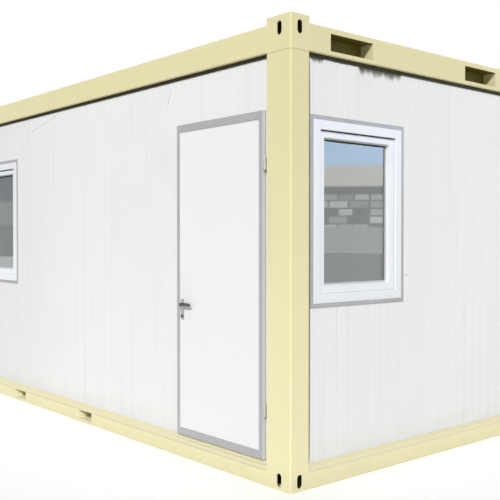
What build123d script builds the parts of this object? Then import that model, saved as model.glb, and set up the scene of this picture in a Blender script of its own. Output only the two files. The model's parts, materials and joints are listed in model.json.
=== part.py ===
"""Flat-pack steel site office: folded steel frame, sandwich wall panels, one door and two windows.

Millimetres. +X runs along the length towards the end with the window, the door side faces -Y and +Z is up.
The origin is at the middle of the footprint, on the ground.
"""
import os

from build123d import *

# Overall outside size
LENGTH = 6055.0
WIDTH = 2435.0
HEIGHT = 2800.0

# Clearances: flat pieces that slide together, and the overrun of every cut
FIT_GAP = 1.0
CUT_OVERRUN = 20.0

# Corner posts: width of the face on the long side and on the end
POST_LONG_FACE = 210.0
POST_END_FACE = 150.0
POST_STEEL = 3.0
POST_CORNER_RADIUS = 10.0
POST_EDGE_RADIUS = 4.0

# Corner blocks at the ends of the posts
BLOCK_STEEL = 8.0
ROOF_BLOCK_HEIGHT = 209.0
SIDE_SLOT_WIDTH = 43.0
SIDE_SLOT_HEIGHT = 82.0
SIDE_SLOT_FROM_END = 100.0
SIDE_SLOT_FROM_SIDE = 75.0
ROOF_SLOT_DROP = 74.0
BASE_SLOT_RISE = 60.0
TWIST_SLOT_LENGTH = 124.0
TWIST_SLOT_WIDTH = 64.0

# Folded rails
RAIL_STEEL = 3.0
RAIL_BEND_RADIUS = 6.0
BASE_RAIL_HEIGHT = 121.0
BASE_FLANGE_DEPTH = 80.0
BASE_LIP_HEIGHT = 14.0
WALL_SEAT_MARGIN = 3.0
UPSTAND_HEIGHT = 24.0
UPSTAND_GAP = 4.0
ROOF_RAIL_HEIGHT = 165.0
ROOF_RAIL_DROP = 40.0
ROOF_TOP_FLANGE_DEPTH = 120.0
ROOF_LIP_DROP = 36.0
ROOF_LEDGE_DEPTH = 30.0

# Fork tunnels across the base, open at both long rails
FORK_TUNNEL_WIDTH = 240.0
FORK_TUNNEL_HEIGHT = 82.0
FORK_TUNNEL_RISE = 16.0
FORK_TUNNEL_STEEL = 4.0

# Pockets in the end roof rails, two an end
POCKET_WIDTH = 394.0
POCKET_HEIGHT = 111.0
POCKET_RISE = 23.0
POCKET_DEPTH = 108.0
POCKET_END_DISTANCE = 376.0
POCKET_STEEL = 3.0

# Wall panels
WALL_RECESS = 30.0
PANEL_THICKNESS = 60.0
PANEL_JOINT_GAP = 2.0
LONG_WALL_PANELS = 5
END_WALL_PANELS = 2
LONG_WALL_INSET = 152.5
END_WALL_INSET = 67.5
PANEL_HEAD_TUCK = 12.0
TONGUE_THICKNESS = 20.0
TONGUE_DEPTH = 8.0

# Black seal on the panel face under the roof rails
HEAD_SEAL_HEIGHT = 22.0
HEAD_SEAL_THICKNESS = 8.0

# Floor and ceiling
FLOOR_TOP = 131.0
DECK_THICKNESS = 18.0
JOIST_HEIGHT = 92.0
JOIST_WIDTH = 50.0
JOIST_LIP = 15.0
JOIST_STEEL = 2.0
JOIST_END_DISTANCE = 327.5
JOIST_COUNT = 10
CEILING_THICKNESS = 10.0
CEILING_SEAT_DEPTH = 40.0

# Roof sheet, ribs across the width
ROOF_SHEET_STEEL = 2.0
ROOF_RIB_HEIGHT = 20.0
ROOF_RIB_COUNT = 24
ROOF_RIB_TOP_SHARE = 0.16
ROOF_RIB_FOOT_SHARE = 0.34

# Door leaf: a white panel set back in a metal border that stands in front of the wall
DOOR_LOCK_MARGIN = 164.0
DOOR_HINGE_MARGIN = 95.0
DOOR_HEAD_DROP = 538.0
DOOR_FOOT_GAP = 6.0
LEAF_BORDER_SIDE = 36.0
LEAF_BORDER_END = 50.0
LEAF_BORDER_PROUD = 27.0
LEAF_BORDER_THICKNESS = 22.0
LEAF_BORDER_EDGE_RADIUS = 4.0
LEAF_PANEL_SETBACK = 5.0
LEAF_THICKNESS = 54.0
LEAF_OVERLAP = 25.0
LEAF_EDGE_RADIUS = 2.0

# Door frame in the wall, behind the leaf's border
DOOR_GAP = 7.0
DOOR_LINING = 19.0
DOOR_STOP_WIDTH = 14.0
DOOR_FLANGE_OVERLAP = 18.0
DOOR_INNER_FLANGE = 6.0

# Lift-off hinges, between the leaf's edge and the near post
LOWER_HINGE_HEIGHT = 456.0
UPPER_HINGE_DROP = 318.0
HINGE_AXIS_ASIDE = 13.0
HINGE_AXIS_SETBACK = 5.5
HINGE_BARREL_RADIUS = 8.0
HINGE_PIN_RADIUS = 4.0
HINGE_PIN_GAP = 0.06
HINGE_HEIGHT = 84.0
HINGE_HALVES_GAP = 1.0
HINGE_PIN_SHARE = 0.42
HINGE_STEEL = 3.0
HINGE_PLATE_WIDTH = 23.5

# Lock plates and lever handle
LOCK_BACKSET = 61.0
LEVER_HEIGHT = 1040.0
LOCK_PLATE_WIDTH = 34.0
LOCK_PLATE_HEIGHT = 146.0
LOCK_PLATE_STEEL = 3.0
LOCK_PLATE_ABOVE = 42.0
KEY_BARREL_DROP = 78.0
KEY_BARREL_RADIUS = 8.5
KEY_BARREL_PROUD = 9.0
LEVER_NECK_RADIUS = 10.0
LEVER_NECK_GAP = 0.4
SPINDLE_RADIUS = 6.0
SPINDLE_HOLE_GAP = 2.0
LEVER_REACH = 36.0
LEVER_LENGTH = 122.0
LEVER_BAR_HEIGHT = 20.0
LEVER_BAR_THICKNESS = 12.0

# Windows: plastic outer frame with a recessed sash, and a metal edge trim round the cut panel
WINDOW_SIDE_MARGIN = 165.0
WINDOW_ASIDE = 19.0
WINDOW_HEAD_DROP = 594.0
WINDOW_SILL = 1096.0
WINDOW_FRAME_FACE = 58.0
WINDOW_FRAME_DEPTH = 70.0
WINDOW_FRAME_PROUD = 4.0
WINDOW_FRAME_EDGE_RADIUS = 3.0
WINDOW_FIT_GAP = 0.3
WINDOW_REBATE_FACE = 38.0
SASH_SETBACK = 16.0
SASH_FACE = 44.0
SASH_DEPTH = 60.0
SASH_GAP = 1.0
GLASS_SETBACK = 28.0
GLASS_THICKNESS = 20.0
GLASS_GROOVE_DEPTH = 14.0
GLASS_EDGE_GAP = 2.0
TRIM_FACE = 26.0
TRIM_STEEL = 3.0
TRIM_LINER = 2.0
FRONT_WINDOW_PANEL_INDEX = 1
DOOR_PANEL_INDEX = 4
END_WINDOW_PANEL_INDEX = 0

# Levels and depths that follow from the sizes above; depth runs inwards from the frame's outer face
BASE_TOP = BASE_RAIL_HEIGHT + UPSTAND_HEIGHT
POST_TOP = HEIGHT - ROOF_BLOCK_HEIGHT
ROOF_RAIL_TOP = HEIGHT - ROOF_RAIL_DROP
ROOF_RAIL_BOTTOM = ROOF_RAIL_TOP - ROOF_RAIL_HEIGHT
PANEL_TOP = ROOF_RAIL_BOTTOM + PANEL_HEAD_TUCK
PANEL_BACK = WALL_RECESS + PANEL_THICKNESS
WALL_SEAT_DEPTH = PANEL_BACK + WALL_SEAT_MARGIN
ROOF_LEDGE_TOP = ROOF_RAIL_TOP - ROOF_LIP_DROP
LONG_MODULE = (LENGTH - 2 * LONG_WALL_INSET) / LONG_WALL_PANELS
END_MODULE = (WIDTH - 2 * END_WALL_INSET) / END_WALL_PANELS
LONG_RAIL_LENGTH = LENGTH - 2 * POST_LONG_FACE
END_RAIL_LENGTH = WIDTH - 2 * POST_END_FACE
POCKET_SPACING = END_RAIL_LENGTH - 2 * POCKET_END_DISTANCE
JOIST_PITCH = (LENGTH - 2 * JOIST_END_DISTANCE) / (JOIST_COUNT - 1)
FORK_TUNNEL_SPACING = 2 * JOIST_PITCH
WINDOW_WIDTH = END_MODULE - 2 * WINDOW_SIDE_MARGIN
WINDOW_HEIGHT = HEIGHT - WINDOW_HEAD_DROP - WINDOW_SILL

# Door levels and places
DOOR_PANEL_RIGHT = LENGTH / 2 - LONG_WALL_INSET
LEAF_LEFT = DOOR_PANEL_RIGHT - LONG_MODULE + DOOR_LOCK_MARGIN
LEAF_RIGHT = DOOR_PANEL_RIGHT - DOOR_HINGE_MARGIN
LEAF_BOTTOM = BASE_TOP + DOOR_FOOT_GAP
LEAF_TOP = HEIGHT - DOOR_HEAD_DROP
BORDER_FRONT = WALL_RECESS - LEAF_BORDER_PROUD
BORDER_BACK = BORDER_FRONT + LEAF_BORDER_THICKNESS
LEAF_FRONT = BORDER_FRONT + LEAF_PANEL_SETBACK
LEAF_BACK = LEAF_FRONT + LEAF_THICKNESS
CLEAR_INSET = LEAF_OVERLAP - DOOR_GAP
CLEAR_LEFT = LEAF_LEFT + CLEAR_INSET
CLEAR_RIGHT = LEAF_RIGHT - CLEAR_INSET
CLEAR_BOTTOM = LEAF_BOTTOM + CLEAR_INSET
CLEAR_TOP = LEAF_TOP - CLEAR_INSET
CUT_LEFT = CLEAR_LEFT - DOOR_LINING - FIT_GAP
CUT_RIGHT = CLEAR_RIGHT + DOOR_LINING + FIT_GAP
CUT_TOP = CLEAR_TOP + DOOR_LINING + FIT_GAP
DOOR_STOP_DEPTH = LEAF_BACK + DOOR_GAP
DOOR_BACK = PANEL_BACK + DOOR_INNER_FLANGE
HINGE_X = LEAF_RIGHT + HINGE_AXIS_ASIDE
HINGE_DEPTH = BORDER_FRONT + HINGE_AXIS_SETBACK
UPPER_HINGE_HEIGHT = LEAF_TOP - UPPER_HINGE_DROP
SPINDLE_X = LEAF_LEFT + LOCK_BACKSET
LEVER_FRONT = LEAF_FRONT - LEVER_REACH
LEVER_BACK = LEAF_BACK + LEVER_REACH

# Each wall is drawn with x along it, y inwards from its outer face and z up, then set in its place
FRONT = Location((0, -WIDTH / 2, 0))
BACK = Location((0, WIDTH / 2, 0), (0, 0, 180))
RIGHT = Location((LENGTH / 2, 0, 0), (0, 0, 90))
LEFT = Location((-LENGTH / 2, 0, 0), (0, 0, -90))
CORNERS = {"front_left": (-1, -1), "front_right": (1, -1), "back_left": (-1, 1), "back_right": (1, 1)}


def block(x0, x1, y0, y1, z0, z1):
    """Rectangular block between two corners."""
    middle = Pos((x0 + x1) / 2, (y0 + y1) / 2, (z0 + z1) / 2)
    return middle * Box(x1 - x0, y1 - y0, z1 - z0)


def ring(x0, x1, z0, z1, side, head, foot, y0, y1):
    """Rectangular ring in a wall: outer outline, widths of its sides, head and foot, and its depths."""
    hole = block(
        x0 + side, x1 - side, y0 - CUT_OVERRUN, y1 + CUT_OVERRUN, z0 + foot, z1 - head
    )
    return block(x0, x1, y0, y1, z0, z1) - hole


def sheet_section(line, thickness):
    """Section of a bent sheet: its outer line, and its thickness to the right of it."""
    closed = offset(line, amount=thickness, side=Side.RIGHT, kind=Kind.INTERSECTION)
    return make_face(closed.edges())


def folded_rail(points):
    """Section of a folded rail through the points of its outer line, with rounded bends."""
    return sheet_section(FilletPolyline(*points, radius=RAIL_BEND_RADIUS), RAIL_STEEL)


def along_wall(section, length):
    """A section drawn in depth and height, carried along a wall and centred on it."""
    return extrude(Plane.YZ.offset(-length / 2) * section, amount=length)


def slot_cut(width, height, plane, depth):
    """Obround cutter: taller than wide in the given plane, reaching the same depth both ways."""
    return extrude(plane * SlotOverall(height, width, rotation=90), amount=depth, both=True)


def rail_windows(rail, spacing, width, z0, height, depth):
    """Cut two rectangular openings in the outer web of a rail, symmetric about its middle."""
    for place in (-spacing / 2, spacing / 2):
        rail -= block(place - width / 2, place + width / 2, -CUT_OVERRUN, depth, z0, z0 + height)
    return rail


def pocket_box():
    """Folded box with an open front that lines a pocket's opening, its front edge flush with the web."""
    foot = ROOF_RAIL_BOTTOM + POCKET_RISE
    head = foot + POCKET_HEIGHT
    half = POCKET_WIDTH / 2
    clear = half - POCKET_STEEL
    outer = block(-half, half, 0, POCKET_DEPTH, foot, head)
    inner = block(
        -clear, clear, -CUT_OVERRUN, POCKET_DEPTH - POCKET_STEEL, foot + POCKET_STEEL, head - POCKET_STEEL
    )
    return outer - inner


def base_rail(length):
    """Folded C with a wide top flange as the wall's seat, and an upstand in front of the wall's foot."""
    section = folded_rail(
        [
            (BASE_FLANGE_DEPTH, BASE_LIP_HEIGHT),
            (BASE_FLANGE_DEPTH, 0),
            (0, 0),
            (0, BASE_RAIL_HEIGHT),
            (WALL_SEAT_DEPTH, BASE_RAIL_HEIGHT),
        ]
    )
    upstand_back = WALL_RECESS - UPSTAND_GAP
    upstand = block(
        -length / 2,
        length / 2,
        upstand_back - RAIL_STEEL,
        upstand_back,
        BASE_RAIL_HEIGHT - RAIL_STEEL,
        BASE_TOP,
    )
    return along_wall(section, length) + upstand


def roof_rail(length):
    """Folded rail: lower flange in front of the panel, outer web, top flange, lip and roof ledge."""
    section = folded_rail(
        [
            (WALL_RECESS - FIT_GAP, ROOF_RAIL_BOTTOM),
            (0, ROOF_RAIL_BOTTOM),
            (0, ROOF_RAIL_TOP),
            (ROOF_TOP_FLANGE_DEPTH, ROOF_RAIL_TOP),
            (ROOF_TOP_FLANGE_DEPTH, ROOF_LEDGE_TOP),
            (ROOF_TOP_FLANGE_DEPTH + ROOF_LEDGE_DEPTH, ROOF_LEDGE_TOP),
        ]
    )
    return along_wall(section, length)


def fork_rail():
    """Long base rail with its two fork openings."""
    return rail_windows(
        base_rail(LONG_RAIL_LENGTH),
        FORK_TUNNEL_SPACING,
        FORK_TUNNEL_WIDTH,
        FORK_TUNNEL_RISE,
        FORK_TUNNEL_HEIGHT,
        RAIL_STEEL + FIT_GAP,
    )


def fork_tunnels():
    """Rectangular tubes from one long rail's outer face to the other's, for a fork truck's tines."""
    foot = FORK_TUNNEL_RISE
    head = foot + FORK_TUNNEL_HEIGHT
    steel = FORK_TUNNEL_STEEL
    half = WIDTH / 2
    tunnels = []
    for centre in (-FORK_TUNNEL_SPACING / 2, FORK_TUNNEL_SPACING / 2):
        left = centre - FORK_TUNNEL_WIDTH / 2
        right = centre + FORK_TUNNEL_WIDTH / 2
        tube = block(left, right, -half, half, foot, head)
        way = half + CUT_OVERRUN
        tunnels.append(tube - block(left + steel, right - steel, -way, way, foot + steel, head - steel))
    return tunnels


def pocket_rail():
    """End roof rail with its two pocket openings."""
    return rail_windows(
        roof_rail(END_RAIL_LENGTH),
        POCKET_SPACING,
        POCKET_WIDTH,
        ROOF_RAIL_BOTTOM + POCKET_RISE,
        POCKET_HEIGHT,
        RAIL_STEEL + FIT_GAP,
    )


def roof_pocket_boxes():
    """A pocket box in each opening of the two end roof rails."""
    places = (-POCKET_SPACING / 2, POCKET_SPACING / 2)
    return [wall * Pos(place, 0, 0) * pocket_box() for wall in (LEFT, RIGHT) for place in places]


def corner_outline(side_x, side_y, points, rounded):
    """Outline given in distances from the two outer faces of a corner, with its rounded points and radii."""
    places = [corner_place(side_x, side_y, point) for point in points]
    outline = make_face(Polyline(*places, close=True).edges())
    for point, radius in rounded.items():
        corner = outline.vertices().sort_by_distance(corner_place(side_x, side_y, point))[0]
        outline = fillet(corner, radius)
    return outline


def corner_place(side_x, side_y, point):
    """Plan position of a point given in distances from the two outer faces of a corner."""
    along, across = point
    return side_x * (LENGTH / 2 - along), side_y * (WIDTH / 2 - across)


def corner_rectangle(side_x, side_y):
    """Plan of a corner: the post's two face widths, with the rounded outer corner."""
    points = [
        (0, 0),
        (POST_LONG_FACE, 0),
        (POST_LONG_FACE, POST_END_FACE),
        (0, POST_END_FACE),
    ]
    return corner_outline(side_x, side_y, points, {(0, 0): POST_CORNER_RADIUS})


def corner_post(side_x, side_y):
    """Stepped hollow section: a leg on each face and a core that closes the room's corner."""
    leg = WALL_RECESS - FIT_GAP
    core_along = LONG_WALL_INSET - FIT_GAP
    core_across = END_WALL_INSET - FIT_GAP
    points = [
        (0, 0),
        (POST_LONG_FACE, 0),
        (POST_LONG_FACE, leg),
        (core_along, leg),
        (core_along, PANEL_BACK),
        (PANEL_BACK + FIT_GAP, PANEL_BACK),
        (PANEL_BACK + FIT_GAP, core_across),
        (leg, core_across),
        (leg, POST_END_FACE),
        (0, POST_END_FACE),
    ]
    rounded = {
        (0, 0): POST_CORNER_RADIUS,
        (POST_LONG_FACE, 0): POST_EDGE_RADIUS,
        (0, POST_END_FACE): POST_EDGE_RADIUS,
    }
    outline = corner_outline(side_x, side_y, points, rounded)
    hollow = outline - offset(outline, amount=-POST_STEEL, kind=Kind.INTERSECTION)
    return extrude(Pos(0, 0, BASE_RAIL_HEIGHT) * hollow, amount=POST_TOP - BASE_RAIL_HEIGHT)


def corner_block(side_x, side_y, z0, height, slot_height, twist_level):
    """Hollow block with an obround slot in each outer face and a twist-lock slot on top or below."""
    body = extrude(Pos(0, 0, z0) * corner_rectangle(side_x, side_y), amount=height)
    middle_x = side_x * (LENGTH / 2 - POST_LONG_FACE / 2)
    middle_y = side_y * (WIDTH / 2 - POST_END_FACE / 2)
    hollow = Box(
        POST_LONG_FACE - 2 * BLOCK_STEEL,
        POST_END_FACE - 2 * BLOCK_STEEL,
        height - 2 * BLOCK_STEEL,
    )
    body -= Pos(middle_x, middle_y, z0 + height / 2) * hollow
    reach = BLOCK_STEEL + CUT_OVERRUN
    long_slot = Plane(
        (side_x * (LENGTH / 2 - SIDE_SLOT_FROM_END), side_y * WIDTH / 2, slot_height), (1, 0, 0), (0, -1, 0)
    )
    end_slot = Plane(
        (side_x * LENGTH / 2, side_y * (WIDTH / 2 - SIDE_SLOT_FROM_SIDE), slot_height), (0, 1, 0), (1, 0, 0)
    )
    body -= slot_cut(SIDE_SLOT_WIDTH, SIDE_SLOT_HEIGHT, long_slot, reach)
    body -= slot_cut(SIDE_SLOT_WIDTH, SIDE_SLOT_HEIGHT, end_slot, reach)
    twist = SlotOverall(TWIST_SLOT_LENGTH, TWIST_SLOT_WIDTH)
    return body - extrude(Pos(middle_x, middle_y, twist_level) * twist, amount=reach, both=True)


def corner_clearance(z0, z1):
    """The four corner blocks' plan, a fit gap larger, as cutters for what runs past them."""
    cutters = []
    for side_x, side_y in CORNERS.values():
        outer_x = side_x * (LENGTH / 2 + CUT_OVERRUN)
        inner_x = side_x * (LENGTH / 2 - POST_LONG_FACE - FIT_GAP)
        outer_y = side_y * (WIDTH / 2 + CUT_OVERRUN)
        inner_y = side_y * (WIDTH / 2 - POST_END_FACE - FIT_GAP)
        xs = sorted((outer_x, inner_x))
        ys = sorted((outer_y, inner_y))
        cutters.append(block(*xs, *ys, z0, z1))
    return cutters


def wall_panel(x0, x1, z0=BASE_RAIL_HEIGHT, z1=PANEL_TOP, tongue=False, groove=False):
    """Sandwich panel, with a tongue on its right edge and a groove on its left where it has a neighbour."""
    middle = WALL_RECESS + PANEL_THICKNESS / 2
    half_gap = PANEL_JOINT_GAP / 2
    left = x0 + half_gap if groove else x0
    right = x1 - half_gap if tongue else x1
    panel = block(left, right, WALL_RECESS, PANEL_BACK, z0, z1)
    if tongue:
        half = TONGUE_THICKNESS / 2
        panel += block(right, right + TONGUE_DEPTH, middle - half, middle + half, z0, z1)
    if groove:
        half = TONGUE_THICKNESS / 2 + FIT_GAP
        depth = TONGUE_DEPTH - PANEL_JOINT_GAP + FIT_GAP
        panel -= block(left, left + depth, middle - half, middle + half, z0 - CUT_OVERRUN, z1 + CUT_OVERRUN)
    return panel


def head_notch(x0, x1):
    """Cutter that takes a panel's top edge clear of a roof corner block."""
    return block(x0, x1, 0, PANEL_BACK + CUT_OVERRUN, POST_TOP - FIT_GAP, HEIGHT)


def wall_row(count, module, rail_length):
    """A wall's panels, left to right, with tongue and groove joints and notched heads at the posts."""
    start = -count * module / 2
    panels = []
    for number in range(count):
        x0 = start + number * module
        panel = wall_panel(x0, x0 + module, tongue=number < count - 1, groove=number > 0)
        panels.append(panel)
    notch = rail_length / 2 - FIT_GAP
    panels[0] -= head_notch(start - CUT_OVERRUN, -notch)
    panels[-1] -= head_notch(notch, CUT_OVERRUN - start)
    return panels


def window_cut(centre):
    """Cutter for a window's hole in its panel, which the trim lines."""
    return window_block(centre, -WINDOW_FIT_GAP - TRIM_LINER, 0, PANEL_BACK + CUT_OVERRUN)


def window_ring(centre, grow, face, y0, y1):
    """Ring round a window: its outline grown from the plastic frame's, its face width and its depths."""
    return ring(
        centre - WINDOW_WIDTH / 2 - grow,
        centre + WINDOW_WIDTH / 2 + grow,
        WINDOW_SILL - grow,
        WINDOW_SILL + WINDOW_HEIGHT + grow,
        face,
        face,
        face,
        y0,
        y1,
    )


def window_trim(centre):
    """Metal edge trim: a flange on each face of the panel and a liner through the hole."""
    face = TRIM_FACE - WINDOW_FIT_GAP
    front = window_ring(centre, TRIM_FACE, face, WALL_RECESS - TRIM_STEEL, WALL_RECESS)
    back = window_ring(centre, TRIM_FACE, face, PANEL_BACK, PANEL_BACK + TRIM_STEEL)
    liner = window_ring(
        centre, WINDOW_FIT_GAP + TRIM_LINER, TRIM_LINER, WALL_RECESS - TRIM_STEEL, PANEL_BACK + TRIM_STEEL
    )
    return front + liner + back


def window_frame(centre):
    """Plastic frame in the trim's liner: a wide front lip, stepped back behind it to house the sash."""
    front = WALL_RECESS - TRIM_STEEL - WINDOW_FRAME_PROUD
    step = front + SASH_SETBACK
    lip = window_ring(centre, 0, WINDOW_FRAME_FACE, front, step)
    rebate = window_ring(centre, 0, WINDOW_REBATE_FACE, step, front + WINDOW_FRAME_DEPTH)
    frame = lip + rebate
    edges = frame.edges().filter_by(Plane.XZ).group_by(Axis.Y)[0]
    return fillet(edges, WINDOW_FRAME_EDGE_RADIUS)


def window_sash(centre):
    """Recessed sash: seated against the frame's lip, with a groove round its inside for the glass."""
    front = WALL_RECESS - TRIM_STEEL - WINDOW_FRAME_PROUD + SASH_SETBACK
    inset = WINDOW_REBATE_FACE + SASH_GAP
    width = WINDOW_FRAME_FACE + SASH_FACE - inset
    sash = window_ring(centre, -inset, width, front, front + SASH_DEPTH)
    groove_inset = WINDOW_FRAME_FACE + SASH_FACE - GLASS_GROOVE_DEPTH
    groove_front = front + GLASS_SETBACK
    return sash - window_block(centre, groove_inset, groove_front, groove_front + GLASS_THICKNESS)


def window_block(centre, inset, y0, y1):
    """Block inside a window's outline, inset all round."""
    return block(
        centre - WINDOW_WIDTH / 2 + inset,
        centre + WINDOW_WIDTH / 2 - inset,
        y0,
        y1,
        WINDOW_SILL + inset,
        WINDOW_SILL + WINDOW_HEIGHT - inset,
    )


def window_glass(centre):
    """Glass unit, seated face to face in the sash's groove."""
    front = WALL_RECESS - TRIM_STEEL - WINDOW_FRAME_PROUD + SASH_SETBACK + GLASS_SETBACK
    inset = WINDOW_FRAME_FACE + SASH_FACE - GLASS_GROOVE_DEPTH + GLASS_EDGE_GAP
    return window_block(centre, inset, front, front + GLASS_THICKNESS)


def window_set(name, wall, centre):
    """The four nodes of one window, set in its wall."""
    return {
        f"{name}_window_trim": wall * window_trim(centre),
        f"{name}_window_frame": wall * window_frame(centre),
        f"{name}_window_sash": wall * window_sash(centre),
        f"{name}_window_glass": wall * window_glass(centre),
    }


def door_frame():
    """Door frame: lining through the wall, stop behind the leaf and flange on the wall's inner face."""
    left = CUT_LEFT + FIT_GAP
    right = CUT_RIGHT - FIT_GAP
    foot = BASE_RAIL_HEIGHT
    top = CUT_TOP - FIT_GAP
    sill = CLEAR_BOTTOM - foot
    lining = ring(left, right, foot, top, DOOR_LINING, DOOR_LINING, sill, WALL_RECESS, PANEL_BACK)
    face = DOOR_LINING + DOOR_STOP_WIDTH
    sill += DOOR_STOP_WIDTH
    stop = ring(left, right, foot, top, face, face, sill, DOOR_STOP_DEPTH, PANEL_BACK)
    face += FIT_GAP + DOOR_FLANGE_OVERLAP
    flange = ring(
        CUT_LEFT - DOOR_FLANGE_OVERLAP,
        CUT_RIGHT + DOOR_FLANGE_OVERLAP,
        BASE_TOP,
        CUT_TOP + DOOR_FLANGE_OVERLAP,
        face,
        face,
        CLEAR_BOTTOM + DOOR_STOP_WIDTH - BASE_TOP,
        PANEL_BACK,
        DOOR_BACK,
    )
    return lining + stop + flange


def leaf_block(side, end, y0, y1):
    """Block inside the leaf's outline, inset at its sides and at its ends, between two depths."""
    return block(LEAF_LEFT + side, LEAF_RIGHT - side, y0, y1, LEAF_BOTTOM + end, LEAF_TOP - end)


def door_leaf():
    """Leaf: a front panel inside the border, a wider core behind it, and a hole for the spindle."""
    core = leaf_block(LEAF_OVERLAP, LEAF_OVERLAP, BORDER_BACK, LEAF_BACK)
    core = fillet(core.edges().filter_by(Plane.XZ).group_by(Axis.Y)[-1], LEAF_EDGE_RADIUS)
    leaf = core + leaf_block(LEAF_BORDER_SIDE, LEAF_BORDER_END, LEAF_FRONT, BORDER_BACK)
    hole = across_wall(SPINDLE_X, LEVER_HEIGHT, SPINDLE_RADIUS + SPINDLE_HOLE_GAP, LEVER_FRONT, LEVER_BACK)
    return leaf - hole


def door_leaf_border():
    """Metal border round the leaf's front, its outer front edges rounded."""
    border = leaf_block(0, 0, BORDER_FRONT, BORDER_BACK)
    border = fillet(border.edges().filter_by(Plane.XZ).group_by(Axis.Y)[0], LEAF_BORDER_EDGE_RADIUS)
    return border - leaf_block(
        LEAF_BORDER_SIDE, LEAF_BORDER_END, BORDER_FRONT - CUT_OVERRUN, BORDER_BACK + CUT_OVERRUN
    )


def across_wall(x, z, radius, y0, y1):
    """Round bar through the wall, between two depths."""
    return Pos(x, (y0 + y1) / 2, z) * Rot(90, 0, 0) * Cylinder(radius, y1 - y0)


def hinge_barrel(radius, z0, z1):
    """Upright round bar on the hinge axis."""
    return Pos(HINGE_X, HINGE_DEPTH, (z0 + z1) / 2) * Cylinder(radius, z1 - z0)


def hinge_frame_half(centre):
    """Lower barrel with its pin, on a web that stands on a foot plate on the wall."""
    foot = centre - HINGE_HEIGHT / 2
    split = centre - HINGE_HALVES_GAP / 2
    pin_top = centre + HINGE_HEIGHT * HINGE_PIN_SHARE
    left = HINGE_X - HINGE_STEEL / 2
    web = block(left, left + HINGE_STEEL, HINGE_DEPTH, WALL_RECESS, foot, split)
    plate = block(left, left + HINGE_PLATE_WIDTH, WALL_RECESS - HINGE_STEEL, WALL_RECESS, foot, split)
    barrel = hinge_barrel(HINGE_BARREL_RADIUS, foot, split)
    return barrel + hinge_barrel(HINGE_PIN_RADIUS, foot, pin_top) + web + plate


def hinge_leaf_half(centre):
    """Upper barrel with a blind bore for the pin, on a flag welded to the edge of the leaf's border."""
    split = centre + HINGE_HALVES_GAP / 2
    head = centre + HINGE_HEIGHT / 2
    bore_top = centre + HINGE_HEIGHT * HINGE_PIN_SHARE + HINGE_HALVES_GAP
    half = HINGE_STEEL / 2
    flag = block(LEAF_RIGHT, HINGE_X, HINGE_DEPTH - half, HINGE_DEPTH + half, split, head)
    barrel = hinge_barrel(HINGE_BARREL_RADIUS, split, head)
    bore = hinge_barrel(HINGE_PIN_RADIUS + HINGE_PIN_GAP, split - CUT_OVERRUN, bore_top)
    return barrel + flag - bore


def lock_plate(y0, y1, key_end):
    """Rounded plate with a hole for the lever's neck, and the key barrel standing out of it."""
    top = LEVER_HEIGHT + LOCK_PLATE_ABOVE
    plane = Plane((SPINDLE_X, (y0 + y1) / 2, top - LOCK_PLATE_HEIGHT / 2), (1, 0, 0), (0, -1, 0))
    outline = SlotOverall(LOCK_PLATE_HEIGHT, LOCK_PLATE_WIDTH, rotation=90)
    plate = extrude(plane * outline, amount=(y1 - y0) / 2, both=True)
    plate -= across_wall(
        SPINDLE_X, LEVER_HEIGHT, LEVER_NECK_RADIUS + LEVER_NECK_GAP, y0 - CUT_OVERRUN, y1 + CUT_OVERRUN
    )
    ends = sorted((y0, y1, key_end))
    return plate + across_wall(
        SPINDLE_X, LEVER_HEIGHT - KEY_BARREL_DROP, KEY_BARREL_RADIUS, ends[0], ends[-1]
    )


def lever_bar(y0, y1):
    """Flat lever with rounded ends, from the neck towards the hinges."""
    length = LEVER_LENGTH + LEVER_BAR_HEIGHT
    centre_x = SPINDLE_X + LEVER_LENGTH / 2
    plane = Plane((centre_x, (y0 + y1) / 2, LEVER_HEIGHT), (1, 0, 0), (0, -1, 0))
    return extrude(plane * SlotOverall(length, LEVER_BAR_HEIGHT), amount=(y1 - y0) / 2, both=True)


def lever_handle():
    """Two levers on necks that turn in the lock plates, joined by the spindle through the leaf."""
    neck_front = LEAF_FRONT - LEVER_NECK_GAP
    neck_back = LEAF_BACK + LEVER_NECK_GAP
    spindle = across_wall(SPINDLE_X, LEVER_HEIGHT, SPINDLE_RADIUS, LEVER_FRONT, LEVER_BACK)
    front_neck = across_wall(SPINDLE_X, LEVER_HEIGHT, LEVER_NECK_RADIUS, LEVER_FRONT, neck_front)
    back_neck = across_wall(SPINDLE_X, LEVER_HEIGHT, LEVER_NECK_RADIUS, neck_back, LEVER_BACK)
    front_bar = lever_bar(LEVER_FRONT, LEVER_FRONT + LEVER_BAR_THICKNESS)
    back_bar = lever_bar(LEVER_BACK - LEVER_BAR_THICKNESS, LEVER_BACK)
    return spindle + front_neck + back_neck + front_bar + back_bar


def floor_joists():
    """Lipped C sections across the width, welded between the webs of the long base rails."""
    top = FLOOR_TOP - DECK_THICKNESS
    foot = top - JOIST_HEIGHT
    span = WIDTH - 2 * RAIL_STEEL
    joists = []
    for number in range(JOIST_COUNT):
        centre = (number - (JOIST_COUNT - 1) / 2) * JOIST_PITCH
        left = centre - JOIST_WIDTH / 2
        right = centre + JOIST_WIDTH / 2
        line = Polyline(
            (right, foot + JOIST_LIP),
            (right, foot),
            (left, foot),
            (left, top),
            (right, top),
            (right, top - JOIST_LIP),
        )
        section = sheet_section(line, JOIST_STEEL)
        joists.append(extrude(Plane.XZ.offset(-span / 2) * section, amount=span))
    return joists


def flat_sheet(edge, z0, z1):
    """Flat board over the plan, its edges a depth inside the frame's faces, notched at the blocks."""
    board = block(edge - LENGTH / 2, LENGTH / 2 - edge, edge - WIDTH / 2, WIDTH / 2 - edge, z0, z1)
    for cutter in corner_clearance(z0 - CUT_OVERRUN, z1 + CUT_OVERRUN):
        board -= cutter
    return board


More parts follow.
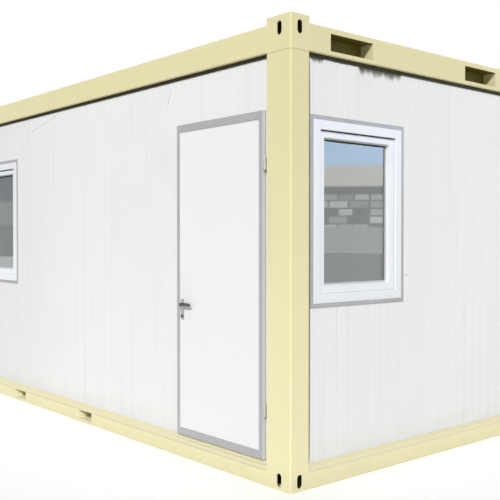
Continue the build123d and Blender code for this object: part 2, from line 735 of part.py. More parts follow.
def roof_sheet():
    """Ribbed sheet lying on the rails' ledges, with ribs across the width."""
    edge = ROOF_TOP_FLANGE_DEPTH + RAIL_BEND_RADIUS + FIT_GAP
    half_length = LENGTH / 2 - edge
    pitch = 2 * half_length / ROOF_RIB_COUNT
    low = ROOF_LEDGE_TOP
    high = low + ROOF_RIB_HEIGHT
    foot = pitch * ROOF_RIB_FOOT_SHARE / 2
    crest = pitch * ROOF_RIB_TOP_SHARE / 2
    line = [(-half_length, low)]
    for number in range(ROOF_RIB_COUNT):
        centre = -half_length + (number + 1 / 2) * pitch
        line += [(centre - foot, low), (centre - crest, high), (centre + crest, high), (centre + foot, low)]
    line.append((half_length, low))
    upper = [(x, z + ROOF_SHEET_STEEL) for x, z in reversed(line)]
    section = make_face(Polyline(*line, *upper, close=True).edges())
    depth = WIDTH - 2 * edge
    sheet = extrude(Plane.XZ.offset(-depth / 2) * section, amount=depth)
    for cutter in corner_clearance(low - CUT_OVERRUN, high + CUT_OVERRUN):
        sheet -= cutter
    return sheet


def head_seal(length):
    """Seal strip on the panels' face, tight under the roof rail."""
    return block(
        -length / 2,
        length / 2,
        WALL_RECESS - HEAD_SEAL_THICKNESS,
        WALL_RECESS,
        ROOF_RAIL_BOTTOM - HEAD_SEAL_HEIGHT,
        ROOF_RAIL_BOTTOM,
    )


def base_frame():
    """Base rails, base blocks, fork tunnels, joists and deck."""
    nodes = {
        "front_base_rail": FRONT * fork_rail(),
        "back_base_rail": BACK * fork_rail(),
        "left_base_rail": LEFT * base_rail(END_RAIL_LENGTH),
        "right_base_rail": RIGHT * base_rail(END_RAIL_LENGTH),
        "fork_tunnels": fork_tunnels(),
        "floor_joists": floor_joists(),
        "floor_deck": flat_sheet(WALL_SEAT_DEPTH + FIT_GAP, FLOOR_TOP - DECK_THICKNESS, FLOOR_TOP),
    }
    nodes["base_corner_blocks"] = [
        corner_block(*sides, 0, BASE_RAIL_HEIGHT, BASE_SLOT_RISE, 0) for sides in CORNERS.values()
    ]
    return nodes


def roof_frame():
    """Roof rails, roof blocks, pocket boxes, ribbed sheet, ceiling and head seals."""
    nodes = {
        "front_roof_rail": FRONT * roof_rail(LONG_RAIL_LENGTH),
        "back_roof_rail": BACK * roof_rail(LONG_RAIL_LENGTH),
        "left_roof_rail": LEFT * pocket_rail(),
        "right_roof_rail": RIGHT * pocket_rail(),
        "roof_pocket_boxes": roof_pocket_boxes(),
        "roof_sheet": roof_sheet(),
        "ceiling": flat_sheet(PANEL_BACK - CEILING_SEAT_DEPTH, PANEL_TOP, PANEL_TOP + CEILING_THICKNESS),
    }
    nodes["roof_corner_blocks"] = [
        corner_block(*sides, POST_TOP, ROOF_BLOCK_HEIGHT, HEIGHT - ROOF_SLOT_DROP, HEIGHT)
        for sides in CORNERS.values()
    ]
    nodes["head_seals"] = [
        FRONT * head_seal(LONG_RAIL_LENGTH),
        BACK * head_seal(LONG_RAIL_LENGTH),
        LEFT * head_seal(END_RAIL_LENGTH),
        RIGHT * head_seal(END_RAIL_LENGTH),
    ]
    return nodes


def front_wall():
    """Front panels, with the door's panel split beside and over its doorway, and the window's panel cut."""
    panels = wall_row(LONG_WALL_PANELS, LONG_MODULE, LONG_RAIL_LENGTH)
    over = -CUT_OVERRUN
    doorway = block(CUT_LEFT, CUT_RIGHT, over, PANEL_BACK + CUT_OVERRUN, 0, HEIGHT)
    beside = (panels[DOOR_PANEL_INDEX] - doorway).solids().sort_by(Axis.X)
    names = ["front_panel_far_left", "front_window_panel", "front_panel_middle", "front_panel_near_door"]
    panels[FRONT_WINDOW_PANEL_INDEX] -= window_cut(front_window_centre())
    nodes = {name: FRONT * panel for name, panel in zip(names, panels)}
    nodes["door_lock_side_panel"] = FRONT * beside[0]
    nodes["door_hinge_side_panel"] = FRONT * beside[1]
    nodes["door_head_panel"] = FRONT * wall_panel(CUT_LEFT, CUT_RIGHT, CUT_TOP, PANEL_TOP)
    return nodes


def front_window_centre():
    """Middle of the front window along its wall, off its panel's middle towards the near corner."""
    return (FRONT_WINDOW_PANEL_INDEX + 1 / 2 - LONG_WALL_PANELS / 2) * LONG_MODULE + WINDOW_ASIDE


def end_window_centre():
    """Middle of the right end window along its wall, off its panel's middle towards the near corner."""
    return (END_WINDOW_PANEL_INDEX + 1 / 2 - END_WALL_PANELS / 2) * END_MODULE - WINDOW_ASIDE


def other_walls():
    """Back, left and right walls; only the right one has a window."""
    right = wall_row(END_WALL_PANELS, END_MODULE, END_RAIL_LENGTH)
    right[END_WINDOW_PANEL_INDEX] -= window_cut(end_window_centre())
    back = wall_row(LONG_WALL_PANELS, LONG_MODULE, LONG_RAIL_LENGTH)
    left = wall_row(END_WALL_PANELS, END_MODULE, END_RAIL_LENGTH)
    return {
        "right_window_panel": RIGHT * right[0],
        "right_panel_back": RIGHT * right[1],
        "back_wall_panels": [BACK * panel for panel in back],
        "left_wall_panels": [LEFT * panel for panel in left],
    }


def door_set():
    """Door frame, leaf and its border, hinges, lock plates and lever."""
    plate_front = LEAF_FRONT - LOCK_PLATE_STEEL
    plate_back = LEAF_BACK + LOCK_PLATE_STEEL
    hinge_heights = (LOWER_HINGE_HEIGHT, UPPER_HINGE_HEIGHT)
    return {
        "door_frame": FRONT * door_frame(),
        "door_leaf": FRONT * door_leaf(),
        "door_leaf_border": FRONT * door_leaf_border(),
        "hinge_frame_halves": [FRONT * hinge_frame_half(height) for height in hinge_heights],
        "hinge_leaf_halves": [FRONT * hinge_leaf_half(height) for height in hinge_heights],
        "lock_plates": [
            FRONT * lock_plate(plate_front, LEAF_FRONT, plate_front - KEY_BARREL_PROUD),
            FRONT * lock_plate(LEAF_BACK, plate_back, plate_back + KEY_BARREL_PROUD),
        ],
        "lever_handle": FRONT * lever_handle(),
    }


def site_office():
    """Every node of the site office by its name."""
    nodes = base_frame()
    for name, sides in CORNERS.items():
        nodes[f"{name}_post"] = corner_post(*sides)
    nodes.update(roof_frame())
    nodes.update(front_wall())
    nodes.update(other_walls())
    nodes.update(window_set("front", FRONT, front_window_centre()))
    nodes.update(window_set("right", RIGHT, end_window_centre()))
    nodes.update(door_set())
    return nodes


os.makedirs("parts", exist_ok=True)
for node_name, shape in site_office().items():
    solids = shape if isinstance(shape, list) else shape.solids()
    pieces = [solid for piece in solids for solid in piece.solids()]
    export_step(Compound(children=pieces), f"parts/{node_name}.step")
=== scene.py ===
"""Looks of a flat-pack site office: ribbed facings, windows, door furniture, finishes, light and camera.

Metres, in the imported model's own frame. A wall is drawn with "along" to the right as seen from outside,
"depth" inwards from the frame's outer face and "level" up, and on_wall sets such points in place.
"""
import json
import math

import bmesh
import bpy
import numpy as np
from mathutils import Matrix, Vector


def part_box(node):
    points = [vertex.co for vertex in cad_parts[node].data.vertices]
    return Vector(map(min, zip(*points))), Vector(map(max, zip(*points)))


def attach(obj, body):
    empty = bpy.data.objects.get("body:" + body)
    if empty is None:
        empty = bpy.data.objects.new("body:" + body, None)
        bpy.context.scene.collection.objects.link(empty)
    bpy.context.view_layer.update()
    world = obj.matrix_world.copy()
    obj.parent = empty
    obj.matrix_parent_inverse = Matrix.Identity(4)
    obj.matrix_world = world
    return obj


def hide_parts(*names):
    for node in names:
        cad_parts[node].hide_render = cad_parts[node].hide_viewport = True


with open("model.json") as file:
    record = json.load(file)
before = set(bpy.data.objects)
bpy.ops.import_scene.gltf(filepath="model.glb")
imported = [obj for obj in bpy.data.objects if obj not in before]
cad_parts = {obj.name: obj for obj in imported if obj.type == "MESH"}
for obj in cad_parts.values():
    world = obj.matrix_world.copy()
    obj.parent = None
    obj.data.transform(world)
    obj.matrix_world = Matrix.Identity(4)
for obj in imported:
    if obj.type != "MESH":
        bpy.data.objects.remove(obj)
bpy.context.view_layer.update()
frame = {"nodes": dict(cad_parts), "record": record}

MM = 0.001
UPSTAND = 24 * MM
SHARP_ANGLE = math.radians(35)

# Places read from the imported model
BASE_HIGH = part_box("base_corner_blocks")[1]
HALF_LENGTH = BASE_HIGH.x
HALF_WIDTH = BASE_HIGH.y
BLOCK_BASE_TOP = BASE_HIGH.z
BLOCK_ROOF_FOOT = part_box("roof_corner_blocks")[0].z
BLOCK_ROOF_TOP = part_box("roof_corner_blocks")[1].z
RAIL_FOOT, RAIL_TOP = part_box("front_roof_rail")[0].z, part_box("front_roof_rail")[1].z
LONG_RAIL_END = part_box("front_roof_rail")[1].x
END_RAIL_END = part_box("right_roof_rail")[1].y
SEAL_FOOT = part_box("head_seals")[0].z
LEDGE_LEVEL = BLOCK_BASE_TOP - UPSTAND
CEILING_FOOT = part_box("ceiling")[0].z
FLOOR_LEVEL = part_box("floor_deck")[1].z
PANEL_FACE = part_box("front_panel_middle")[0].y + HALF_WIDTH
PANEL_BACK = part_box("front_panel_middle")[1].y + HALF_WIDTH
LEAF_LOW, LEAF_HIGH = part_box("door_leaf")
LEAF_FRONT = LEAF_LOW.y + HALF_WIDTH
LEAF_BACK = LEAF_HIGH.y + HALF_WIDTH
BORDER_LOW, BORDER_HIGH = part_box("door_leaf_border")
BORDER_BACK = BORDER_HIGH.y + HALF_WIDTH
HINGE_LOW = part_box("hinge_frame_halves")[0]
PLATE_LOW, PLATE_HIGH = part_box("lock_plates")
LEVER_LOW, LEVER_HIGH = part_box("lever_handle")

# Wall layout
PANEL_MODULE = 1.15
LONG_JOINTS = np.arange(-2.5, 3) * PANEL_MODULE
END_JOINTS = np.arange(-1, 2) * PANEL_MODULE
RIB_PITCH = 0.1
RIB_FIRST = 0.05
QUARTER_TURNS = {"front": 0, "right": 1, "back": 2, "left": 3}
TURN_COSINE = (1, 0, -1, 0)
TURN_SINE = (0, 1, 0, -1)


def on_wall(wall, along, depth, level):
    """Points of a wall in the cabin's frame: the front wall's points turned by the wall's quarter turns."""
    along, depth, level = np.broadcast_arrays(along, depth, level)
    turns = QUARTER_TURNS[wall]
    cosine, sine = TURN_COSINE[turns], TURN_SINE[turns]
    across = depth - (HALF_LENGTH if turns % 2 else HALF_WIDTH)
    return np.stack([cosine * along - sine * across, sine * along + cosine * across, level], axis=-1)


def grid_quads(rows, columns, close_rows=False, close_columns=False):
    """Corner numbers of the quads between neighbouring points of a grid that may close on itself."""
    row = np.arange(rows if close_rows else rows - 1)[:, None]
    column = np.arange(columns if close_columns else columns - 1)[None, :]
    next_row, next_column = (row + 1) % rows, (column + 1) % columns
    corners = np.broadcast_arrays(
        row * columns + column,
        row * columns + next_column,
        next_row * columns + next_column,
        next_row * columns + column,
    )
    return np.stack(corners, axis=-1).reshape(-1, 4)


def from_mm(points):
    """Lengths given in millimetres."""
    return np.array(points, float) * MM


def full_turn(count):
    """Even angles once round a circle, without the last one, which would meet the first."""
    return np.linspace(0, 2 * np.pi, count, endpoint=False)


def oblong(power, count):
    """Rounded oblong of half width and half height 1: a circle's coordinates raised to a power."""
    circle = np.stack([np.cos(full_turn(count)), np.sin(full_turn(count))])
    return np.sign(circle) * np.abs(circle) ** power


def inset_corners(outline, inset):
    """Corners of a rectangle in a wall moved inwards by each inset: places along, and levels."""
    (left, right), (foot, head) = outline
    inset = np.asarray(inset, float)[:, None]
    along = np.array([left, right, right, left]) + inset * np.array([1, -1, -1, 1])
    level = np.array([foot, foot, head, head]) + inset * np.array([1, 1, -1, -1])
    return along, level


class Shell:
    """Surfaces gathered into one piece: points, faces, and how much soil each point holds."""

    def __init__(self):
        self.points = []
        self.faces = []
        self.soil = []
        self.count = 0

    def add(self, points, faces, soil=0.0):
        """Join a surface on: its points, its blocks of faces with equal corner counts, and its soil."""
        points = np.asarray(points, float)
        flat = points.reshape(-1, 3)
        self.soil.append(np.broadcast_to(soil, points.shape[:-1]).ravel())
        self.faces += [np.asarray(block) + self.count for block in faces]
        self.points.append(flat)
        self.count += len(flat)

    def loft(self, rings, soil=0.0):
        """Skin over a run of closed rings, with a flat face on the first and the last."""
        count, around = rings.shape[:2]
        ends = np.array([np.arange(around)[::-1], np.arange(around) + (count - 1) * around])
        self.add(rings, [grid_quads(count, around, close_columns=True), ends], soil)

    def wall_ring(self, wall, outline, profile):
        """Profile of (inset, depth) points carried round a rectangle in a wall, mitred at its corners."""
        inset, depth = np.asarray(profile, float).T
        along, level = inset_corners(outline, inset)
        self.add(on_wall(wall, along.T, depth, level.T), [grid_quads(4, len(inset), True, True)])

    def spun(self, wall, along, level, profile, around=20):
        """Profile of (radius, depth) points turned about an axis square to a wall, closed at both ends."""
        radius, depth = np.asarray(profile, float).T
        turn = full_turn(around)
        ring_along = along + radius[:, None] * np.cos(turn)
        ring_level = level + radius[:, None] * np.sin(turn)
        self.loft(on_wall(wall, ring_along, depth[:, None], ring_level))

    def facing(self, wall, along, depth, back, levels, holes, soil):
        """Thin closed sheet: a front depth for each along, a flat back, and cells left out in holes."""
        rows, columns = len(levels), len(along)
        front_points = on_wall(wall, along[None, :], depth[None, :], levels[:, None])
        back_points = on_wall(wall, along[None, :], back, levels[:, None])
        middle_along = (along[1:] + along[:-1]) / 2
        middle_level = ((levels[1:] + levels[:-1]) / 2)[:, None]
        keep = np.ones((rows - 1, columns - 1), bool)
        for (left, right), (foot, head) in holes:
            inside_along = (middle_along > left) & (middle_along < right)
            keep &= ~(inside_along & (middle_level > foot) & (middle_level < head))
        cells = grid_quads(rows, columns)[keep.ravel()]
        padded = np.pad(keep, 1)
        behind = rows * columns
        row, column = np.nonzero(padded[1:-1, 1:] != padded[1:-1, :-1])
        upright = np.stack([row * columns + column, (row + 1) * columns + column], axis=-1)
        row, column = np.nonzero(padded[1:, 1:-1] != padded[:-1, 1:-1])
        level_edge = np.stack([row * columns + column, row * columns + column + 1], axis=-1)
        edges = np.concatenate([upright, level_edge])
        sides = np.concatenate([edges, edges[:, ::-1] + behind], axis=1)
        quads = np.concatenate([cells, cells[:, ::-1] + behind, sides])
        used, numbers = np.unique(quads, return_inverse=True)
        points = np.concatenate([front_points.reshape(-1, 3), back_points.reshape(-1, 3)])[used]
        spread = np.broadcast_to(soil, (rows, columns)).ravel()
        self.add(points, [numbers.reshape(-1, 4)], np.concatenate([spread, spread])[used])


def make_piece(name, shell, finish, body="cabin", replaces=()):
    """Mesh of a gathered shell, with outward faces, its finish and the body that it rides on."""
    mesh = bpy.data.meshes.new(name)
    faces = [face for block in shell.faces for face in block.tolist()]
    mesh.from_pydata(np.concatenate(shell.points).tolist(), [], faces)
    soil = mesh.attributes.new("soil", "FLOAT", "POINT")
    soil.data.foreach_set("value", np.concatenate(shell.soil).astype(np.float32))
    surface = bmesh.new()
    surface.from_mesh(mesh)
    bmesh.ops.recalc_face_normals(surface, faces=surface.faces)
    surface.to_mesh(mesh)
    surface.free()
    mesh.shade_smooth()
    mesh.set_sharp_from_angle(angle=SHARP_ANGLE)
    mesh.materials.append(finish)
    piece = bpy.data.objects.new(name, mesh)
    bpy.context.scene.collection.objects.link(piece)
    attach(piece, body)
    if replaces:
        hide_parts(*replaces)


def srgb(red, green, blue):
    """Linear colour of display values from 0 to 255."""
    shown = np.array([red, green, blue]) / 255
    linear = np.where(shown <= 0.04045, shown / 12.92, ((shown + 0.055) / 1.055) ** 2.4)
    return (*linear.tolist(), 1.0)


class Socket:
    """A node's output; arithmetic on it adds Math nodes."""

    def __init__(self, finish, socket):
        self.finish = finish
        self.socket = socket

    def math(self, operation, first, second):
        """One Math node on two values."""
        return self.finish.node("ShaderNodeMath", {"operation": operation}, {0: first, 1: second})

    def __add__(self, other):
        return self.math("ADD", self, other)

    def __radd__(self, other):
        return self.math("ADD", other, self)

    def __sub__(self, other):
        return self.math("SUBTRACT", self, other)

    def __rsub__(self, other):
        return self.math("SUBTRACT", other, self)

    def __mul__(self, other):
        return self.math("MULTIPLY", self, other)

    def __rmul__(self, other):
        return self.math("MULTIPLY", other, self)


class Finish:
    """A material in the making: its nodes, and the patterns that the cabin's finishes share."""

    def __init__(self, name, **constants):
        self.material = bpy.data.materials.new(name)
        self.material.use_nodes = True
        self.tree = self.material.node_tree
        self.shader = self.tree.nodes["Principled BSDF"]
        for socket, value in constants.items():
            self.shader.inputs[socket.replace("_", " ")].default_value = value

    def node(self, kind, settings=None, inputs=None, output=0):
        """Any node: its type, its settings, which are set first, and the values or links of its sockets."""
        made = self.tree.nodes.new(kind)
        for name, value in (settings or {}).items():
            setattr(made, name, value)
        for name, value in (inputs or {}).items():
            self.join(value, made.inputs[name])
        return Socket(self, made.outputs[output])

    def join(self, value, target):
        """Link a socket, or set a plain value."""
        if isinstance(value, Socket):
            self.tree.links.new(value.socket, target)
        else:
            target.default_value = value

    def give(self, **sockets):
        """Join values to the shader's own sockets and return the material."""
        for name, value in sockets.items():
            self.join(value, self.shader.inputs[name.replace("_", " ")])
        return self.material

    def place(self, stretch=(1, 1, 1), shift=(0, 0, 0)):
        """Object coordinates, stretched and shifted."""
        here = self.node("ShaderNodeTexCoord", output="Object")
        return self.node("ShaderNodeMapping", None, {"Vector": here, "Scale": stretch, "Location": shift})

    def noise(self, scale, detail=3, roughness=0.55, stretch=(1, 1, 1), shift=(0, 0, 0)):
        """Cloudy pattern from 0 to 1 about 0.5."""
        inputs = {
            "Vector": self.place(stretch, shift),
            "Scale": scale,
            "Detail": detail,
            "Roughness": roughness,
        }
        return self.node("ShaderNodeTexNoise", None, inputs)

    def step(self, value, low, high):
        """Smooth rise from 0 at low to 1 at high."""
        inputs = {"Value": value, "From Min": low, "From Max": high}
        return self.node("ShaderNodeMapRange", {"interpolation_type": "SMOOTHSTEP"}, inputs)

    def axis(self, number):
        """One of the Object coordinates: 0 along, 1 across, 2 up."""
        here = self.node("ShaderNodeTexCoord", output="Object")
        return self.node("ShaderNodeSeparateXYZ", None, {0: here}, number)

    def unsigned(self, value):
        """A value without its sign."""
        return self.node("ShaderNodeMath", {"operation": "ABSOLUTE"}, {0: value})

    def from_middle(self, number):
        """Distance from the cabin's middle along one axis."""
        return self.unsigned(self.axis(number))

    def lean(self, number):
        """One part of the surface's normal in the piece's own frame."""
        normal = self.node("ShaderNodeTexCoord", output="Normal")
        return self.node("ShaderNodeSeparateXYZ", None, {0: normal}, number)

    def faces(self, number):
        """1 on faces square to one axis, 0 on the others."""
        return self.step(self.unsigned(self.lean(number)), 0.6, 0.9)

    def between(self, value, low, high):
        """1 between two limits, 0 outside them, with an edge of half a millimetre."""
        edge = 0.25 * MM
        return self.step(value, low - edge, low + edge) * self.step(value, high + edge, high - edge)

    def mix(self, amount, under, over):
        """Blend of two colours."""
        settings = {"data_type": "RGBA"}
        return self.node("ShaderNodeMix", settings, {0: amount, 6: under, 7: over}, 2)

    def bump(self, height, strength, distance=0.001):
        """Normal from a height pattern."""
        inputs = {"Strength": strength, "Distance": distance, "Height": height}
        return self.node("ShaderNodeBump", None, inputs)

    def attribute(self, name):
        """Value of a point attribute."""
        return self.node("ShaderNodeAttribute", {"attribute_name": name}, None, "Fac")


class WorldFinish(Finish):
    """The world's nodes, made in the same way as a material's."""

    def __init__(self, world):
        self.tree = world.node_tree


# Where hands reach the door: spans along and up over which their marks rise, and over which they fade again
HAND_ALONG = (2.16, 1.97)
HAND_RISE = (0.8, 1.0)
HAND_FADE = (1.3, 1.1)
GRIP_WEAR = (1.99, 2.08)
CEILING_BOARD_WIDTH = 0.6
DOOR_SCUFF_FADE = (0.6, 0.25)
ROOM_SCUFF_FADE = (1.2, 0.8)
PLANK_LENGTH = 1.2
PLANK_WIDTH = 0.18
PLANK_JOINT = 1.8 * MM
SLOT_WALL = 7.5 * MM


def frame_paint(name, *shades, dark=(236, 228, 183), light=(243, 236, 193)):
    """Satin cream paint on folded steel: tone clouds, darker upwards, road dust low down and on tops.

    Each shade is a mask over the paint and the colour that it brings: painted shade in pockets, blocks and
    under the ledge, painted light on the ledge.
    """
    paint = Finish(name, IOR=1.45, Specular_IOR_Level=0.15)
    tone = paint.mix(paint.noise(1.3, 4), srgb(*dark), srgb(*light))
    # Darker towards the top, over the cabin's height
    tone = paint.mix(paint.step(paint.axis(2), 0.1, 2.5) * 0.34, tone, srgb(200, 191, 142))
    speckle = paint.step(paint.noise(38, 5, 0.7), 0.62, 0.8)
    tone = paint.mix(speckle * 0.16, tone, srgb(196, 183, 140))
    splash = paint.step(paint.axis(2) + paint.noise(9, 4) * 0.16, 0.26, 0.06)
    tone = paint.mix(splash * 0.14, tone, srgb(158, 146, 118))
    drips = paint.step(paint.noise(16, 3, 0.6, (1, 1, 0.05)), 0.58, 0.8)
    tone = paint.mix(drips * 0.12, tone, srgb(190, 178, 136))
    dust = paint.step(paint.lean(2), 0.5, 0.95) * (0.25 + 0.5 * paint.noise(6, 5, 0.65))
    tone = paint.mix(dust * 0.55, tone, srgb(176, 170, 150))
    # Painted shade and painted light, each over its own mask
    for shade, colour in shades:
        tone = paint.mix(shade(paint), tone, srgb(*colour))
    peel = paint.noise(420, 2) * 0.6 + paint.noise(60, 2) * 0.4
    rough = 0.44 + 0.16 * paint.noise(7, 3) + dust * 0.3
    return paint.give(Base_Color=tone, Roughness=rough, Normal=paint.bump(peel, 0.09, 0.0006))


def pocket_shade(paint):
    """Painted shade: 1 on a pocket's back, roof and floor, 0 on its sides and its front edge."""
    behind = paint.step(paint.from_middle(0), HALF_LENGTH - MM, HALF_LENGTH - 6 * MM)
    return (1 - paint.faces(1)) * behind


def ledge_painted_light(paint):
    """Painted light: most of the way to 1 on the ledge and the upstand of a base rail, 0 below them."""
    return 0.7 * paint.step(paint.axis(2), LEDGE_LEVEL - MM, LEDGE_LEVEL - 0.5 * MM)


def ledge_shade_line(paint):
    """Thin band of painted shade under the ledge's front edge, broken along its run."""
    band = paint.between(paint.axis(2), LEDGE_LEVEL - 6 * MM, LEDGE_LEVEL - MM)
    return band * (0.3 + 0.6 * paint.noise(3, 3))


def block_shade(paint):
    """Painted shade: 1 inside a corner block's walls, 0 on its outside."""
    inside = paint.between(paint.from_middle(0), LONG_RAIL_END + SLOT_WALL, HALF_LENGTH - SLOT_WALL)
    inside = inside * paint.between(paint.from_middle(1), END_RAIL_END + SLOT_WALL, HALF_WIDTH - SLOT_WALL)
    return inside * paint.between(paint.axis(2), SLOT_WALL, BLOCK_ROOF_TOP - SLOT_WALL)


def wall_sheet():
    """White coated sheet: faint upright rain streaks, grime and painted shade in the ribs, grime at the foot,
    painted shade towards the -x end, rolling waves.
    """
    sheet = Finish("wall_sheet_finish", IOR=1.45, Specular_IOR_Level=0.2)
    tone = sheet.mix(sheet.noise(0.8, 3), srgb(232, 232, 231), srgb(240, 240, 239))
    # Painted shade: darker towards the -x end of the cabin
    tone = sheet.mix(sheet.step(sheet.axis(0), 0.7, -1.5) * 0.26, tone, srgb(190, 190, 191))
    streaks = sheet.step(sheet.noise(22, 4, 0.6, (1, 1, 0.03)), 0.5, 0.82)
    tone = sheet.mix(streaks * 0.16, tone, srgb(196, 196, 194))
    blotch = sheet.step(sheet.noise(3.1, 5, 0.6, (1, 1, 0.5), (7, 3, 1)), 0.56, 0.82)
    tone = sheet.mix(blotch * 0.1, tone, srgb(205, 204, 198))
    # Grime in the rib grooves and at the joints, with painted shade in the grooves as well
    rib_grime_and_shade = sheet.attribute("soil")
    tone = sheet.mix(rib_grime_and_shade * (0.12 + 0.22 * streaks), tone, srgb(150, 148, 142))
    foot = sheet.step(sheet.axis(2) + sheet.noise(8, 4) * 0.2, 0.42, 0.2)
    tone = sheet.mix(foot * 0.14, tone, srgb(168, 162, 146))
    wave = sheet.noise(5, 2, 0.5, (1, 1, 0.25)) + 0.15 * sheet.noise(300, 2)
    rough = 0.4 + 0.2 * streaks + 0.1 * sheet.noise(14, 3)
    return sheet.give(Base_Color=tone, Roughness=rough, Normal=sheet.bump(wave, 0.12, 0.001))


def door_paint():
    """Clean white door paint: barely clouded, hand marks near the lock, scuffs low down, orange peel."""
    paint = Finish("door_paint_finish", IOR=1.45, Specular_IOR_Level=0.2)
    tone = paint.mix(paint.noise(1.1, 3), srgb(236, 236, 236), srgb(241, 241, 241))
    level = paint.axis(2)
    near_lock = paint.step(paint.axis(0), *HAND_ALONG) * paint.step(level, *HAND_RISE)
    near_lock = near_lock * paint.step(level, *HAND_FADE) * paint.noise(30, 4)
    tone = paint.mix(near_lock * 0.12, tone, srgb(190, 186, 176))
    scuffs = paint.step(paint.noise(26, 4, 0.7, (0.3, 1, 2)), 0.66, 0.8)
    scuffs = scuffs * paint.step(level, *DOOR_SCUFF_FADE)
    tone = paint.mix(scuffs * 0.2, tone, srgb(176, 174, 168))
    peel = paint.noise(380, 2) + 0.5 * paint.noise(9, 2)
    rough = 0.34 + 0.14 * paint.noise(8, 3)
    return paint.give(Base_Color=tone, Roughness=rough, Normal=paint.bump(peel, 0.07, 0.0006))


def grey_metal(name, dark, light, sheen, edge=None):
    """Grey coated profile: fine grain, lengthwise wipe marks, a soft sheen and its own tone on edges."""
    metal = Finish(name, IOR=1.45)
    tone = metal.mix(metal.noise(4, 4), srgb(*dark), srgb(*light))
    if edge:
        tone = metal.mix(metal.faces(0), tone, srgb(*edge))
    wipe = metal.step(metal.noise(70, 3, 0.6, (0.2, 0.2, 0.06)), 0.55, 0.8)
    tone = metal.mix(wipe * 0.2, tone, srgb(205, 206, 208))
    grime = metal.step(metal.noise(11, 5, 0.65), 0.6, 0.85)
    tone = metal.mix(grime * 0.22, tone, srgb(128, 126, 120))
    rough = 0.38 + 0.2 * metal.noise(24, 3)
    return metal.give(
        Base_Color=tone,
        Metallic=sheen + 0.1 * wipe,
        Roughness=rough,
        Normal=metal.bump(metal.noise(520, 2), 0.06, 0.0005),
    )


def window_plastic():
    """White extruded plastic: glossy, slightly cool, with faint film smudges and a fine drawn grain."""
    plastic = Finish("window_plastic_finish", IOR=1.5, Coat_Roughness=0.12, Specular_IOR_Level=0.25)
    tone = plastic.mix(plastic.noise(5, 3), srgb(228, 230, 235), srgb(237, 238, 242))
    smudge = plastic.step(plastic.noise(34, 4, 0.65), 0.6, 0.76)
    tone = plastic.mix(smudge * 0.2, tone, srgb(196, 196, 206))
    grain = plastic.noise(90, 2, 0.5) + 0.4 * plastic.noise(600, 2)
    rough = 0.2 + 0.2 * smudge + 0.06 * plastic.noise(16, 2)
    return plastic.give(
        Base_Color=tone,
        Roughness=rough,
        Coat_Weight=0.06 - 0.05 * smudge,
        Normal=plastic.bump(grain, 0.03, 0.0005),
    )


def window_pane():
    """Clear float glass with a reflective coat, and a breath of dust that dulls it here and there."""
    glass = Finish("window_pane_finish", IOR=1.8, Transmission_Weight=1.0)
    glass.shader.inputs["Base Color"].default_value = (0.62, 0.66, 0.65, 1.0)
    dust = glass.step(glass.noise(6, 5, 0.7), 0.55, 0.85)
    wave = glass.noise(2.4, 1)
    return glass.give(Roughness=0.004 + 0.03 * dust, Normal=glass.bump(wave, 0.02, 0.001))


def rubber():
    """Olive-black rubber: dusty, matt and finely pitted."""
    seal = Finish("rubber_finish", IOR=1.45, Specular_IOR_Level=0.2)
    dust = seal.step(seal.noise(20, 5, 0.65), 0.45, 0.8)
    tone = seal.mix(dust * 0.6, srgb(48, 45, 26), srgb(86, 80, 54))
    rough = 0.62 + 0.25 * dust
    return seal.give(Base_Color=tone, Roughness=rough, Normal=seal.bump(seal.noise(700, 3), 0.2, 0.0005))


def roof_steel():
    """Zinc-coated roof sheet: cream-grey, with dried puddle rims and dust in the valleys."""
    steel = Finish("roof_steel_finish", IOR=1.45)
    tone = steel.mix(steel.noise(2.2, 4), srgb(196, 194, 182), srgb(214, 212, 200))
    puddle = steel.noise(1.7, 4, 0.6, shift=(4, 9, 0))
    rim = steel.step(puddle, 0.5, 0.56) * steel.step(puddle, 0.62, 0.56)
    tone = steel.mix(rim * 0.4, tone, srgb(140, 132, 112))
    dust = steel.step(steel.noise(12, 5, 0.7), 0.5, 0.8)
    tone = steel.mix(dust * 0.3, tone, srgb(168, 160, 142))
    rough = 0.4 + 0.3 * dust
    return steel.give(
        Base_Color=tone,
        Metallic=0.35 - 0.3 * dust,
        Roughness=rough,
        Normal=steel.bump(steel.noise(45, 3), 0.08),
    )


def ceiling_board():
    """Matt white board with a fine fleck and a dark joint where a wave along the cabin comes to nought."""
    board = Finish("ceiling_board_finish", IOR=1.45)
    fleck = board.step(board.noise(240, 2), 0.6, 0.72)
    tone = board.mix(board.noise(2, 3), srgb(228, 228, 226), srgb(238, 238, 236))
    tone = board.mix(fleck * 0.25, tone, srgb(190, 190, 186))
    stripes = {"Vector": board.place(), "Scale": math.pi / 10 / CEILING_BOARD_WIDTH, "Distortion": 0.0}
    wave = board.node("ShaderNodeTexWave", {"bands_direction": "X"}, stripes)
    joint = board.step(wave, 0.004, 0.0)
    tone = board.mix(joint * 0.6, tone, srgb(120, 120, 118))
    rough = 0.6 + 0.2 * fleck
    return board.give(Base_Color=tone, Roughness=rough, Normal=board.bump(fleck - joint, 0.2, 0.0006))


